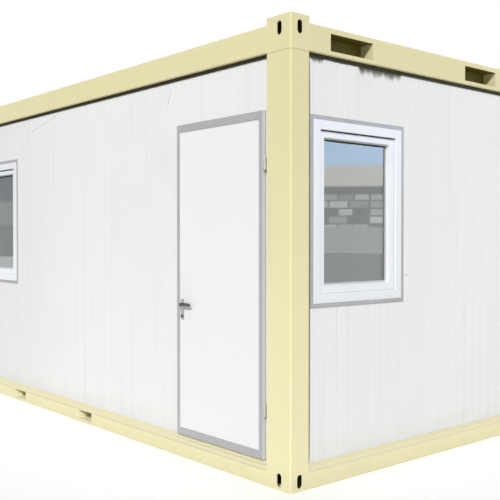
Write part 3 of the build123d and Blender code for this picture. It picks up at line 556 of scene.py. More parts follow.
def floor_board():
    """Grey-brown sheet vinyl with a plank print: long grain, plank-to-plank tone and dark joints."""
    vinyl = Finish("floor_board_finish", IOR=1.5)
    bricks = {"offset": 0.37, "offset_frequency": 1, "squash": 1.0}
    values = {
        "Vector": vinyl.place(),
        "Color1": (0.2, 0.2, 0.2, 1),
        "Color2": (0.9, 0.9, 0.9, 1),
        "Mortar": (0.0, 0.0, 0.0, 1),
        "Scale": 1.0,
        "Mortar Size": PLANK_JOINT,
        "Brick Width": PLANK_LENGTH,
        "Row Height": PLANK_WIDTH,
    }
    plank = vinyl.node("ShaderNodeTexBrick", bricks, values, "Color")
    joint = vinyl.node("ShaderNodeTexBrick", bricks, values, "Fac")
    plank_tone = vinyl.node("ShaderNodeSeparateColor", None, {0: plank}, 0)
    grain = vinyl.noise(30, 6, 0.65, (0.12, 1.6, 1)) * 0.6 + plank_tone * 0.4
    tone = vinyl.mix(grain, srgb(120, 104, 86), srgb(176, 158, 134))
    tone = vinyl.mix(joint * 0.8, tone, srgb(60, 52, 44))
    dirt = vinyl.step(vinyl.noise(3, 5, 0.65), 0.5, 0.8)
    tone = vinyl.mix(dirt * 0.35, tone, srgb(150, 144, 132))
    rough = 0.35 + 0.3 * dirt
    return vinyl.give(Base_Color=tone, Roughness=rough, Normal=vinyl.bump(grain * 0.4 - joint, 0.15, 0.0006))


def galvanised():
    """Hot-dip zinc: crystal spangle, dull grey bloom and a few rust specks."""
    zinc = Finish("galvanised_finish", IOR=1.5)
    crystals = zinc.node("ShaderNodeTexVoronoi", None, {"Vector": zinc.place(), "Scale": 55.0}, "Color")
    spangle = zinc.node("ShaderNodeSeparateColor", None, {0: crystals}, 0)
    tone = zinc.mix(spangle, srgb(150, 152, 153), srgb(186, 188, 189))
    bloom = zinc.step(zinc.noise(7, 5, 0.65), 0.5, 0.8)
    tone = zinc.mix(bloom * 0.4, tone, srgb(172, 170, 164))
    rust = zinc.step(zinc.noise(40, 5, 0.7, shift=(2, 5, 3)), 0.68, 0.78)
    tone = zinc.mix(rust * 0.5, tone, srgb(124, 84, 52))
    rough = 0.34 + 0.2 * spangle + 0.2 * bloom
    shine = 0.75 - 0.5 * bloom
    return zinc.give(Base_Color=tone, Metallic=shine, Roughness=rough, Normal=zinc.bump(spangle, 0.03))


def brushed_metal(name, dark, light, stretch):
    """Turned or brushed metal: drawn lines along one axis, finger dulling and small nicks."""
    metal = Finish(name, IOR=1.5)
    lines = metal.noise(300, 3, 0.6, stretch)
    tone = metal.mix(lines, srgb(*dark), srgb(*light))
    dull = metal.step(metal.noise(28, 4, 0.65), 0.5, 0.8)
    tone = metal.mix(dull * 0.35, tone, srgb(128, 128, 126))
    rough = 0.28 + 0.2 * lines + 0.2 * dull
    shine = 0.85 - 0.3 * dull
    return metal.give(Base_Color=tone, Metallic=shine, Roughness=rough, Normal=metal.bump(lines, 0.05))


def lever_plastic():
    """Black moulded lever: fine texture, worn a little glossier and greyer where a hand takes hold."""
    plastic = Finish("lever_plastic_finish", IOR=1.5)
    worn = plastic.step(plastic.axis(0), *GRIP_WEAR) * (0.4 + 0.6 * plastic.noise(60, 3))
    tone = plastic.mix(worn * 0.6, srgb(62, 62, 64), srgb(104, 104, 106))
    grain = plastic.noise(900, 2)
    rough = 0.46 - 0.16 * worn + 0.08 * plastic.noise(120, 2)
    return plastic.give(Base_Color=tone, Roughness=rough, Normal=plastic.bump(grain, 0.12, 0.0004))


def room_lining():
    """Plain white lining board: soft clouds, light scuffs at chair height, grime and painted shade in the
    ribs, and a fine pebbled coat.
    """
    board = Finish("room_lining_finish", IOR=1.45, Specular_IOR_Level=0.3)
    tone = board.mix(board.noise(0.9, 3), srgb(226, 226, 224), srgb(236, 236, 234))
    scuff = board.step(board.noise(18, 4, 0.7, (1, 1, 3)), 0.6, 0.8)
    scuff = scuff * board.step(board.axis(2), *ROOM_SCUFF_FADE)
    tone = board.mix(scuff * 0.2, tone, srgb(176, 174, 168))
    # Grime in the rib grooves and at the joints, with painted shade in the grooves as well
    tone = board.mix(board.attribute("soil") * 0.2, tone, srgb(150, 150, 148))
    pebble = board.noise(500, 2)
    return board.give(Base_Color=tone, Roughness=0.5 + 0.2 * scuff, Normal=board.bump(pebble, 0.08, 0.0006))


def sealant():
    """Smeared olive-grey sealant: dark and thick at its root, streaked, thinning to nothing at its hem."""
    bead = Finish("sealant_finish", IOR=1.45, Specular_IOR_Level=0.2)
    root = bead.attribute("soil")
    streaks = bead.noise(46, 4, 0.65, (1, 1, 0.25))
    tone = bead.mix(root + 0.5 * streaks - 0.25, srgb(168, 167, 160), srgb(84, 81, 64))
    cover = bead.step(root + 0.6 * (streaks - 0.5), 0.1, 1.1)
    rough = 0.55 + 0.3 * streaks
    lumps = bead.bump(bead.noise(160, 4, 0.6), 0.3, 0.002)
    return bead.give(Base_Color=tone, Alpha=cover, Roughness=rough, Normal=lumps)


def painted_seam_shade():
    """Seam between post and block painted as a dark line of shade: brown-cream with darker breaks."""
    seam = Finish("painted_seam_shade_finish", IOR=1.45)
    breaks = seam.step(seam.noise(60, 4, 0.65), 0.4, 0.7)
    tone = seam.mix(breaks, srgb(182, 170, 124), srgb(206, 195, 148))
    rough = 0.55 + 0.2 * breaks
    return seam.give(Base_Color=tone, Roughness=rough, Normal=seam.bump(seam.noise(300, 2), 0.2, 0.0006))


CREAM = frame_paint("frame_paint_finish")
# Roof pockets: cream with painted shade on their back, roof and floor
POCKET_CREAM = frame_paint("roof_pocket_finish", (pocket_shade, (112, 103, 40)))
# Corner blocks: cream with painted shade inside their walls
BLOCK_CREAM = frame_paint("corner_block_finish", (block_shade, (62, 56, 26)))
# Painted light: ledge and upstand in a paler, greyer cream than the rail
PAINTED_LEDGE_LIGHT = ledge_painted_light, (222, 216, 186)
LONG_BASE_CREAM = frame_paint("long_base_rail_finish", (ledge_shade_line, (186, 179, 144)), PAINTED_LEDGE_LIGHT)
END_BASE_CREAM = frame_paint("end_base_rail_finish", PAINTED_LEDGE_LIGHT)
# Fork tunnels in a paler cream than the frame: painted light inside them
TUNNEL_PAINTED_LIGHT = frame_paint("fork_tunnel_painted_light_finish", dark=(250, 244, 208), light=(254, 250, 216))
WALL_WHITE = wall_sheet()
DOOR_WHITE = door_paint()
JAMB_GREY = grey_metal("door_frame_finish", (170, 171, 171), (184, 185, 185), 0.08)
BORDER_GREY = grey_metal("door_border_finish", (165, 166, 168), (180, 181, 183), 0.06, (208, 208, 206))
TRIM_GREY = grey_metal("window_trim_finish", (158, 157, 158), (174, 173, 174), 0.1)
PLASTIC = window_plastic()
PANE = window_pane()
RUBBER = rubber()
ROOF = roof_steel()
CEILING = ceiling_board()
FLOOR = floor_board()
ZINC = galvanised()
HINGE_STEEL = grey_metal("hinge_steel_finish", (180, 180, 176), (198, 198, 194), 0.1)
GASKET_GREY = grey_metal("gasket_finish", (178, 178, 177), (192, 192, 191), 0.0)
FACE_SEAL = grey_metal("face_seal_finish", (216, 216, 212), (228, 228, 224), 0.0)
# Olive for the strips of painted shade beside the posts
SHADE_STRIP_OLIVE = grey_metal("corner_shade_strip_finish", (98, 96, 74), (120, 117, 92), 0.0)
KEY_GREY = brushed_metal("key_barrel_finish", (84, 84, 86), (112, 112, 114), (1, 0.05, 1))
LINING_WHITE = room_lining()
SATIN_METAL = brushed_metal("satin_metal_finish", (146, 147, 148), (180, 181, 182), (0.05, 1, 1))
LEVER_BLACK = lever_plastic()
SEALANT = sealant()
SEAM_SHADE = painted_seam_shade()

FINISH_OF_SLOT = {
    "frame_paint": CREAM,
    "wall_panel": WALL_WHITE,
    "door_paint": DOOR_WHITE,
    "door_frame_grey": JAMB_GREY,
    "window_plastic": PLASTIC,
    "trim_grey": TRIM_GREY,
    "window_glass": PANE,
    "black_seal": RUBBER,
    "roof_steel": ROOF,
    "ceiling_board": CEILING,
    "floor_board": FLOOR,
    "galvanised": ZINC,
    "hinge_steel": HINGE_STEEL,
    "lock_metal": SATIN_METAL,
    "lever_black": LEVER_BLACK,
}
FINISH_OF_NODE = {
    "front_base_rail": LONG_BASE_CREAM,
    "back_base_rail": LONG_BASE_CREAM,
    "left_base_rail": END_BASE_CREAM,
    "right_base_rail": END_BASE_CREAM,
    "fork_tunnels": TUNNEL_PAINTED_LIGHT,
    "roof_pocket_boxes": POCKET_CREAM,
    "roof_corner_blocks": BLOCK_CREAM,
    "base_corner_blocks": BLOCK_CREAM,
    "door_leaf_border": BORDER_GREY,
}
for subpart in frame["record"]["subparts"]:
    slot_finish = FINISH_OF_SLOT[subpart["material_slot"]]
    materials = frame["nodes"][subpart["node"]].data.materials
    for number in range(len(materials)):
        materials[number] = FINISH_OF_NODE.get(subpart["node"], slot_finish)


def wall_outline(node, wall, gap):
    """Outline of a node in its wall, grown by a gap: its spans along and up."""
    low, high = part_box(node)
    spans = {"front": (low.x, high.x), "right": (low.y, high.y)}
    left, right = spans[wall]
    return (left - gap, right + gap), (low.z - gap, high.z + gap)


WINDOWS = {"front": "front_window", "right": "right_window"}
FACING_GAP = 0.3 * MM
WINDOW_HOLES = {wall: [wall_outline(f"{name}_trim", wall, FACING_GAP)] for wall, name in WINDOWS.items()}
DOOR_EDGE_GAP = 2.3 * MM
LEAF_SPAN, LEAF_LEVELS = wall_outline("door_leaf_border", "front", DOOR_EDGE_GAP)
OUTER_DOORWAY = LEAF_SPAN, (0.0, LEAF_LEVELS[1])
INNER_DOORWAY = wall_outline("door_frame", "front", FACING_GAP)
RIB_WIDTH = 7 * MM
RIB_DEPTH = 0.8 * MM
# A rib's section: shares of its width along, and of its depth
RIB_SHAPE = np.array([[-0.8, 0], [-0.5, 0], [-0.28, 0.7], [0, 1], [0.28, 0.7], [0.5, 0], [0.8, 0]])
SHEET_PROUD = 1.2 * MM
SHEET_BITE = 0.2 * MM
JOINT_HALF_GAP = 0.2 * MM
JOINT_FOLD = 3.5 * MM
JOINT_DROP = 1.0 * MM
SHEET_FOOT_GAP = 2 * MM
SHEET_HEAD_GAP = MM
SHEET_SIDE_GAP = 0.5 * MM
LINING_END_GAP = 153.5 * MM
LINING_CORNER_GAP = 3 * MM


def rib_line(start, end, joints, from_right):
    """Sheet section between two ends: (along, drop, soil) at each rib's points and each joint's fold."""
    left, right = joints
    count = int(round((right - left) / RIB_PITCH))
    run = RIB_FIRST + RIB_PITCH * np.arange(count)
    centres = right - run if from_right else left + run
    centres = np.sort(centres[(centres > start + RIB_WIDTH) & (centres < end - RIB_WIDTH)])
    along = (centres[:, None] + RIB_SHAPE[None, :, 0] * RIB_WIDTH).ravel()
    drop = np.tile(RIB_SHAPE[:, 1] * RIB_DEPTH, len(centres))
    soil = np.tile(RIB_SHAPE[:, 1], len(centres))
    fold = JOINT_FOLD * np.array([0, 1, 1.6])
    along = np.concatenate([start + fold, along, end - fold[::-1]])
    drop = np.concatenate([[JOINT_DROP, 0, 0], drop, [0, 0, JOINT_DROP]])
    soil = np.concatenate([[1, 0, 0], soil, [0, 0, 1]])
    return along, drop, soil


def wall_facings(wall, joints, reach, inside):
    """Ribbed sheets of a wall: the rib section of each panel carried up, with its openings left out."""
    shell = Shell()
    gap = JOINT_HALF_GAP
    face, out = (PANEL_BACK, -1) if inside else (PANEL_FACE, 1)
    foot, head = (FLOOR_LEVEL, CEILING_FOOT) if inside else (BLOCK_BASE_TOP, SEAL_FOOT)
    openings = WINDOW_HOLES.get(wall, [])
    if wall == "front":
        openings = openings + [INNER_DOORWAY if inside else OUTER_DOORWAY]
    for left, right in zip(joints[:-1], joints[1:]):
        start, end = max(left, -reach) + gap, min(right, reach) - gap
        along, drop, soil = rib_line(start, end, (left, right), wall in ("front", "back"))
        holes = [hole for hole in openings if hole[0][0] < end and hole[0][1] > start]
        edges = np.array([edge for hole in holes for edge in hole[0]])
        edges = edges[(edges > start) & (edges < end)]
        places = np.unique(np.concatenate([along, edges]))
        depth = face - out * (SHEET_PROUD - np.interp(places, along, drop))
        ends = foot + SHEET_FOOT_GAP, head - SHEET_HEAD_GAP
        levels = np.array([*ends] + [edge for hole in holes for edge in hole[1]])
        levels = np.unique(np.clip(levels, *ends))
        spread = np.interp(places, along, soil)[None, :]
        shell.facing(wall, places, depth, face + out * SHEET_BITE, levels, holes, spread)
    return shell


for wall_name in QUARTER_TURNS:
    long_wall = wall_name in ("front", "back")
    wall_joints = LONG_JOINTS if long_wall else END_JOINTS
    outer_reach = (LONG_RAIL_END if long_wall else END_RAIL_END) - SHEET_SIDE_GAP
    inner_reach = HALF_LENGTH - LINING_END_GAP if long_wall else HALF_WIDTH - PANEL_BACK - LINING_CORNER_GAP
    outside = wall_facings(wall_name, wall_joints, outer_reach, False)
    lining = wall_facings(wall_name, wall_joints, inner_reach, True)
    make_piece(f"{wall_name}_wall_sheets", outside, WALL_WHITE)
    make_piece(f"{wall_name}_room_linings", lining, LINING_WHITE)


def ring_piece(name, wall, outline, profiles, finish, body="cabin"):
    """Piece of profiles that are each carried round a rectangle in a wall."""
    shell = Shell()
    for profile in profiles:
        shell.wall_ring(wall, outline, profile)
    make_piece(name, shell, finish, body)


BAR_POWER = 0.35
BAR_SOFTNESS = 0.3


def rounded_bar(shell, wall, along, level, half_width, half_height, back, front, around=40):
    """Rounded oblong raised from a wall: its ring carried from back to front, and drawn in at the rim."""
    across, up = oblong(BAR_POWER, around)
    height = abs(front - back)
    soften = min(half_width, half_height, height) * BAR_SOFTNESS
    inset = np.array([0, 0, 0.3 * soften, soften])[:, None]
    rise = np.array([0, height - soften, height - 0.3 * soften, height])[:, None]
    depth = back + np.sign(front - back) * rise
    ring_along = along + (half_width - inset) * across
    ring_level = level + (half_height - inset) * up
    shell.loft(on_wall(wall, ring_along, depth, ring_level))


# Window fittings: profiles of (inset from the plastic frame's outline, depth)
SASH_SEAL = from_mm([(58, 36.6), (59.6, 36.4), (61, 37.2), (61.6, 38.4), (61.6, 39.3), (58, 39.3)])
GLAZING_BEAD = from_mm(
    [(101.6, 41), (103.2, 40.6), (104.6, 41.6), (109.2, 62), (110.4, 64.6), (110.4, 66.9), (101.6, 66.9)]
)
GLAZING_SEAL = from_mm([(110, 63.4), (112.6, 64.2), (113.6, 66), (120, 66.3), (120.4, 67.05), (110, 67.05)])
INNER_BEAD = from_mm([(101.6, 98.6), (104, 99), (110.4, 92), (110.4, 87.1), (101.6, 87.1)])
SPACER = from_mm([(104, 71.2), (115.4, 71.2), (116, 72.6), (116, 81.4), (115.4, 82.8), (104, 82.8)])
LIP_FOLD = from_mm([(-26.4, 26.6), (-25, 25.9), (-1.6, 25.9), (-0.2, 26.6), (-0.2, 27.2), (-26.4, 27.2)])
# Two panes of glass, each with its edges taken off
PANE_THICK = 4 * MM
PANE_EDGE = 90 * MM
PANE_CHAMFER = 0.5 * MM
PANE_FRONTS = (67 * MM, 83 * MM)
PANE_INSET = PANE_EDGE + PANE_CHAMFER * np.array([1, 0, 0, 1])
PANE_DEPTH = np.array([0, PANE_CHAMFER, PANE_THICK - PANE_CHAMFER, PANE_THICK])
# Dark rubber bars at the head only, gasket and painted shade under the head: inset of the bar and of its
# ends, half its height, depth of its back and its front
HEAD_SHADE_BARS = from_mm([(61.6, 58, 3.8, 39.3, 36), (115.4, 110, 5.4, 67.1, 63)])
# Bars of the caps and the handle: half width, half height, depth of the back and the front
DRAIN_CAP = from_mm([15, 5, 23.4, 20.2])
CAP_SHARES = (0.2, 0.8)
CAP_RISE = 26 * MM
HANDLE_INSET = 80 * MM
HANDLE_PLATE = from_mm([14, 36, 98.6, 107])
HANDLE_NECK = from_mm([(9, 106), (9, 123), (8, 126), (4, 127)])
HANDLE_GRIP = from_mm([9, 66, 121, 133])
GRIP_DROP = 52 * MM


def window_pieces(wall, name):
    """Seals, with dark bars at the head that paint its shade as well, beads, double panes with their spacer,
    drain caps, and the handle inside.
    """
    outline = wall_outline(f"{name}_frame", wall, 0)
    (left, right), (foot, head) = outline
    middle_along, half = (left + right) / 2, (right - left) / 2
    ring_piece(f"{name}_gasket", wall, outline, [SASH_SEAL, GLAZING_SEAL], GASKET_GREY)
    # Dark bars under the heads of the sash and the glass: gasket with painted shade
    seals = Shell()
    for inset, end_inset, half_height, back, front in HEAD_SHADE_BARS:
        rounded_bar(seals, wall, middle_along, head - inset, half - end_inset, half_height, back, front)
    make_piece(f"{name}_seals", seals, RUBBER)
    beads = [GLAZING_BEAD, INNER_BEAD]
    ring_piece(f"{name}_glazing_beads", wall, outline, beads, PLASTIC)
    ring_piece(f"{name}_trim_fold", wall, outline, [LIP_FOLD], TRIM_GREY)
    panes = Shell()
    along, level = inset_corners(outline, PANE_INSET)
    for front in PANE_FRONTS:
        panes.loft(on_wall(wall, along, (front + PANE_DEPTH)[:, None], level))
    make_piece(f"{name}_double_panes", panes, PANE, replaces=[f"{name}_glass"])
    ring_piece(f"{name}_spacer", wall, outline, [SPACER], GASKET_GREY)
    caps = Shell()
    for share in CAP_SHARES:
        rounded_bar(caps, wall, left + share * (right - left), foot + CAP_RISE, *DRAIN_CAP)
    make_piece(f"{name}_drain_caps", caps, PLASTIC)
    handle = Shell()
    grip_along = right - HANDLE_INSET
    middle = (foot + head) / 2
    rounded_bar(handle, wall, grip_along, middle, *HANDLE_PLATE)
    handle.spun(wall, grip_along, middle, HANDLE_NECK)
    rounded_bar(handle, wall, grip_along, middle - GRIP_DROP, *HANDLE_GRIP)
    make_piece(f"{name}_handle", handle, PLASTIC)


for wall_name, window_name in WINDOWS.items():
    window_pieces(wall_name, window_name)

# Door furniture
DOOR_GAP = 7 * MM
CLEAR_OPENING = (
    (LEAF_LOW.x - DOOR_GAP, LEAF_HIGH.x + DOOR_GAP),
    (LEAF_LOW.z - DOOR_GAP, LEAF_HIGH.z + DOOR_GAP),
)
STOP_SEAL = from_mm([(1, 69.2), (1, 65), (3, 63.4), (6, 63), (9, 63.8), (10.5, 66), (11, 69.2)])
LEAF_OUTLINE = (BORDER_LOW.x, BORDER_HIGH.x), (BORDER_LOW.z, BORDER_HIGH.z)
BORDER_SEAL = from_mm([(1, 24.8), (12, 24.8), (11.4, 27.2), (6.5, 28.4), (1.6, 27.4)])
SPINDLE_ALONG = (PLATE_LOW.x + PLATE_HIGH.x) / 2
SPINDLE_LEVEL = (LEVER_LOW.z + LEVER_HIGH.z) / 2
KEY_LEVEL = SPINDLE_LEVEL - 78 * MM
KEY_PROUD = 12 * MM
KEY_SLOT = from_mm([1.2, 4.6])
KEY_SLOT_PROUD = 0.9 * MM
SPINDLE_RADIUS = 5.6 * MM
SPINDLE_PROUD = 3 * MM
LEVER_TIP = LEVER_HIGH.x - 4 * MM
LEVER_BEND = 11 * MM
LEVER_INSET = 7 * MM
LEVER_OUT = LEVER_LOW.y + HALF_WIDTH + LEVER_INSET
LEVER_IN = LEVER_HIGH.y + HALF_WIDTH - LEVER_INSET
LEVER_CRANK = 4 * MM
LEVER_NECK = 9.4 * MM
LEVER_SWELL = 2.2 * MM
LEVER_THINNING = 3.6 * MM
LOCK_LEVEL = SPINDLE_LEVEL - 40 * MM
LATCH_LEVEL = SPINDLE_LEVEL - 2 * MM
# Plates on the lock edge and on the frame beside it: rise, half depth, half height
LOCK_FACE = from_mm([0.6, 10, 112])
LATCH = from_mm([4.6, 5.5, 11])
STRIKE = from_mm([0.8, 9, 90])
PLATE_POWER = 0.4
PLATE_BITE = 0.6 * MM
PLATE_RIM = 0.3 * MM
# Profiles of (radius, rise from a face) in millimetres
LEVER_COLLAR = [(10, 0.5), (10, 5.5), (9.2, 6.9), (6, 7.3)]
KEY_SLEEVE = [(9, -9.4), (9, -1.2), (9.4, -0.9), (9.4, 0.2), (8.8, 0.7), (6.6, 0.8), (6.2, 0.5)]
PLATE_SCREW = [(4, 2.5), (4, 3.3), (3.2, 4.1), (1.4, 4.5), (0.3, 4.3)]
PLATE_SCREW_INSET = 14 * MM


def standing(points, face, out):
    """Profile of (radius, rise) millimetres on a face, outdoors where out is -1 and in the room at 1."""
    radius, rise = from_mm(points).T
    return np.stack([radius, face + out * rise], axis=-1)


def lever_path(neck_depth, grip_depth):
    """Path of one lever: out along the spindle, round a quarter bend, then along to its tip."""
    turn = np.linspace(0, np.pi / 2, 9)
    side = np.sign(grip_depth - neck_depth)
    start = np.array([[SPINDLE_ALONG, neck_depth]])
    arc_along = SPINDLE_ALONG + LEVER_BEND * (1 - np.cos(turn))
    arc_depth = grip_depth - side * LEVER_BEND * (1 - np.sin(turn))
    reach = np.linspace(SPINDLE_ALONG + LEVER_BEND, LEVER_TIP, 14)[1:]
    run = np.stack([reach, np.full_like(reach, grip_depth)], axis=-1)
    return np.concatenate([start, np.stack([arc_along, arc_depth], axis=-1), run])


def lever_arm(shell, neck_depth, grip_depth):
    """Oval section carried square to the lever's path: round at the neck, flatter on the grip, domed tip."""
    path = lever_path(neck_depth, grip_depth)
    heading = np.gradient(path, axis=0)
    heading /= np.linalg.norm(heading, axis=1, keepdims=True)
    share = np.linspace(0, 1, len(path))
    grip = np.clip((share - 0.1) / 0.4, 0, 1)
    dome = np.sqrt(np.clip(1 - ((share - 0.86) / 0.15).clip(0) ** 2, 0.06, 1))
    half_height = (LEVER_NECK + LEVER_SWELL * grip) * dome
    half_thick = (LEVER_NECK - LEVER_THINNING * grip) * dome
    turn = full_turn(24)
    swing = half_thick[:, None] * np.cos(turn)
    along = path[:, :1] - heading[:, 1:] * swing
    depth = path[:, 1:] + heading[:, :1] * swing
    crank = (LEVER_CRANK * grip**2 * dome)[:, None]
    level = SPINDLE_LEVEL + crank + half_height[:, None] * np.sin(turn)
    shell.loft(on_wall("front", along, depth, level))


def edge_plate(shell, face, out, level, size):
    """Rounded oblong plate on an upright edge of the door or its frame, standing proud along the wall."""
    proud, half_depth, half_height = size
    across, up = oblong(PLATE_POWER, 32)
    inset = np.array([0, 0, PLATE_RIM])[:, None]
    along = face + out * np.array([-PLATE_BITE, proud - PLATE_RIM, proud])[:, None]
    depth = (BORDER_BACK + LEAF_BACK) / 2 + (half_depth - inset) * across
    shell.loft(on_wall("front", along, depth, level + (half_height - inset) * up))


def door_pieces():
    """Stop seal, face seal, lever, key barrels, plate screws, edge plate, latch and strike."""
    ring_piece("door_stop_seal", "front", CLEAR_OPENING, [STOP_SEAL], RUBBER)
    ring_piece("door_face_seal", "front", LEAF_OUTLINE, [BORDER_SEAL], FACE_SEAL, "door")
    faces = (LEAF_FRONT, -1), (LEAF_BACK, 1)
    lever = Shell()
    lever_arm(lever, LEAF_FRONT - MM, LEVER_OUT)
    lever_arm(lever, LEAF_BACK + MM, LEVER_IN)
    for face, out in faces:
        lever.spun("front", SPINDLE_ALONG, SPINDLE_LEVEL, standing(LEVER_COLLAR, face, out))
    spindle = [(SPINDLE_RADIUS, face + out * SPINDLE_PROUD) for face, out in faces]
    lever.spun("front", SPINDLE_ALONG, SPINDLE_LEVEL, spindle, 4)
    make_piece("door_lever", lever, LEVER_BLACK, "lever", ["lever_handle"])
    keys, screws, barrels = Shell(), Shell(), Shell()
    for face, out in faces:
        key_face = face + out * KEY_PROUD
        key_front = key_face + out * KEY_SLOT_PROUD
        barrels.spun("front", SPINDLE_ALONG, KEY_LEVEL, standing(KEY_SLEEVE, key_face, out))
        rounded_bar(keys, "front", SPINDLE_ALONG, KEY_LEVEL, *KEY_SLOT, key_face, key_front, 16)
        for level in (PLATE_LOW.z + PLATE_SCREW_INSET, PLATE_HIGH.z - PLATE_SCREW_INSET):
            screws.spun("front", SPINDLE_ALONG, level, standing(PLATE_SCREW, face, out), 14)
    edge_plate(screws, LEAF_LOW.x, -1, LOCK_LEVEL, LOCK_FACE)
    edge_plate(screws, LEAF_LOW.x, -1, LATCH_LEVEL, LATCH)
    make_piece("door_lock_details", screws, SATIN_METAL, "door")
    make_piece("door_key_barrels", barrels, KEY_GREY, "door")
    make_piece("door_key_slots", keys, RUBBER, "door")
    strike = Shell()
    edge_plate(strike, CLEAR_OPENING[0][0], 1, LOCK_LEVEL, STRIKE)
    make_piece("door_strike_plate", strike, SATIN_METAL)


HINGE_RADIUS = 8 * MM
HINGE_ALONG = HINGE_LOW.x + HINGE_RADIUS
HINGE_DEPTH = HINGE_LOW.y + HALF_WIDTH + HINGE_RADIUS
HINGE_LEVELS = (0.456, 1.944)
HINGE_HALF = 42 * MM
# Profiles of (radius, rise) about the hinge axis, and of a screw on its foot plate
HINGE_CAP = from_mm([(8, -0.6), (8, 0.8), (7.2, 2.2), (5.4, 3.4), (2.6, 4)])
HINGE_RING = from_mm([(7.9, -2.6), (8.5, -2), (8.5, -0.8), (7.9, -0.4)])
HINGE_SCREW = [(3.8, 2.4), (3.8, 3.1), (3, 3.7), (1, 4)]
HINGE_SCREW_ALONG = HINGE_ALONG + 15 * MM
HINGE_SCREW_SHARES = (0.28, 0.74)


def hinge_rings(profile, level, side):
    """Profile turned about the hinge axis, rising from a level: up where side is 1, down where it is -1."""
    radius, rise = profile.T[:, :, None]
    turn = full_turn(20)
    along = HINGE_ALONG + radius * np.cos(turn)
    return on_wall("front", along, HINGE_DEPTH + radius * np.sin(turn), level + side * rise)


def hinge_pieces():
    """Domed caps on the hinge barrels, a bearing ring between their halves, and their foot plates' screws."""
    fixed, turning = Shell(), Shell()
    for level in HINGE_LEVELS:
        for shell, side in ((fixed, -1), (turning, 1)):
            shell.loft(hinge_rings(HINGE_CAP, level + side * HINGE_HALF, side))
        for share in HINGE_SCREW_SHARES:
            screw = standing(HINGE_SCREW, PANEL_FACE, -1)
            fixed.spun("front", HINGE_SCREW_ALONG, level - share * HINGE_HALF, screw, 14)
        fixed.loft(hinge_rings(HINGE_RING, level, 1))
    make_piece("hinge_frame_fittings", fixed, HINGE_STEEL)
    make_piece("hinge_leaf_fittings", turning, HINGE_STEEL, "door")


door_pieces()
hinge_pieces()

# Seams and welds of the frame
CORNER_RADIUS = 10 * MM
CORNERS = ((1, -1), (1, 1), (-1, 1), (-1, -1))
SEAM_PROUD = 0.5 * MM
SEAM_HALF_HEIGHT = 2.2 * MM
WELD_RUNS = (12 * MM, BLOCK_BASE_TOP - 6 * MM), (RAIL_FOOT + 8 * MM, RAIL_TOP - 8 * MM)
WELD_STEP = 2.5 * MM
WELD_PITCH = 5 * MM
WELD_TAPER = 8 * MM
WELD_WIDTH = 2.6 * MM
WELD_FLATNESS = 0.42
ROOF_RIBS = 24
ROOF_SCREW = from_mm([(7.5, -0.4), (7.5, 1.2), (4.6, 1.6), (4.6, 5), (2.4, 6.4)])
ROOF_SCREW_INSET = 14 * MM
ROOF_VALLEY = 2 * MM


def corner_path(side_x, side_y):
    """Plan path round a post's two outer faces with its rounded corner, and the path's outward normals."""
    turn = np.linspace(0, np.pi / 2, 9)
    arc = np.stack([np.sin(turn), np.cos(turn)], axis=-1)
    centre = np.array([HALF_LENGTH - CORNER_RADIUS, HALF_WIDTH - CORNER_RADIUS])
    start = [[LONG_RAIL_END, HALF_WIDTH]]
    end = [[HALF_LENGTH, END_RAIL_END]]
    path = np.concatenate([start, centre + CORNER_RADIUS * arc, end])
    normal = np.concatenate([[[0, 1]], arc, [[1, 0]]])
    sides = np.array([side_x, side_y])
    return path * sides, normal * sides


def corner_seams():
    """Flat bead carried round each corner at the joints between the post and its two blocks."""
    base, roof = Shell(), Shell()
    turn = full_turn(8)
    for side_x, side_y in CORNERS:
        path, normal = corner_path(side_x, side_y)
        for shell, level in ((base, BLOCK_BASE_TOP), (roof, BLOCK_ROOF_FOOT)):
            proud = SEAM_PROUD * np.cos(turn)
            flat = path[:, None, :] + normal[:, None, :] * proud[None, :, None]
            rise = np.broadcast_to(level + SEAM_HALF_HEIGHT * np.sin(turn), flat.shape[:2])
            shell.loft(np.concatenate([flat, rise[:, :, None]], axis=-1))
    make_piece("base_corner_seams", base, CREAM)
    make_piece("roof_corner_seams", roof, SEAM_SHADE)


def weld_beads():
    """Rippled low bead up each joint of a rail and a block: an oval section that swells along its run."""
    shell = Shell()
    turn = full_turn(10)
    for wall in QUARTER_TURNS:
        edge = LONG_RAIL_END if wall in ("front", "back") else END_RAIL_END
        for along in (-edge, edge):
            for foot, head in WELD_RUNS:
                level = np.linspace(foot, head, int((head - foot) / WELD_STEP))
                swell = 1 + 0.22 * np.cos(2 * np.pi * level / WELD_PITCH) + 0.1 * np.sin(level * 61 + along)
                taper = np.sqrt(np.clip((level - foot) * (head - level) / WELD_TAPER**2, 0.05, 1))
                width = (WELD_WIDTH * swell * taper)[:, None]
                ring_along = along + width * np.cos(turn)
                ring_depth = WELD_FLATNESS * width * np.sin(turn)
                shell.loft(on_wall(wall, ring_along, ring_depth, level[:, None]))
    make_piece("frame_weld_beads", shell, CREAM)


def roof_screws():
    """Domed screw heads on washers down both edges of the roof sheet, one in each valley."""
    shell = Shell()
    low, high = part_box("roof_sheet")
    pitch = (high.x - low.x) / ROOF_RIBS
    turn = full_turn(12)
    radius, rise = ROOF_SCREW.T[:, :, None]
    level = np.broadcast_to(low.z + ROOF_VALLEY + rise, (len(rise), len(turn)))
    for across in (low.y + ROOF_SCREW_INSET, high.y - ROOF_SCREW_INSET):
        for along in low.x + pitch * np.arange(1, ROOF_RIBS):
            rings = [along + radius * np.cos(turn), across + radius * np.sin(turn), level]
            shell.loft(np.stack(rings, axis=-1))
    make_piece("roof_screws", shell, ZINC)


corner_seams()
weld_beads()
roof_screws()

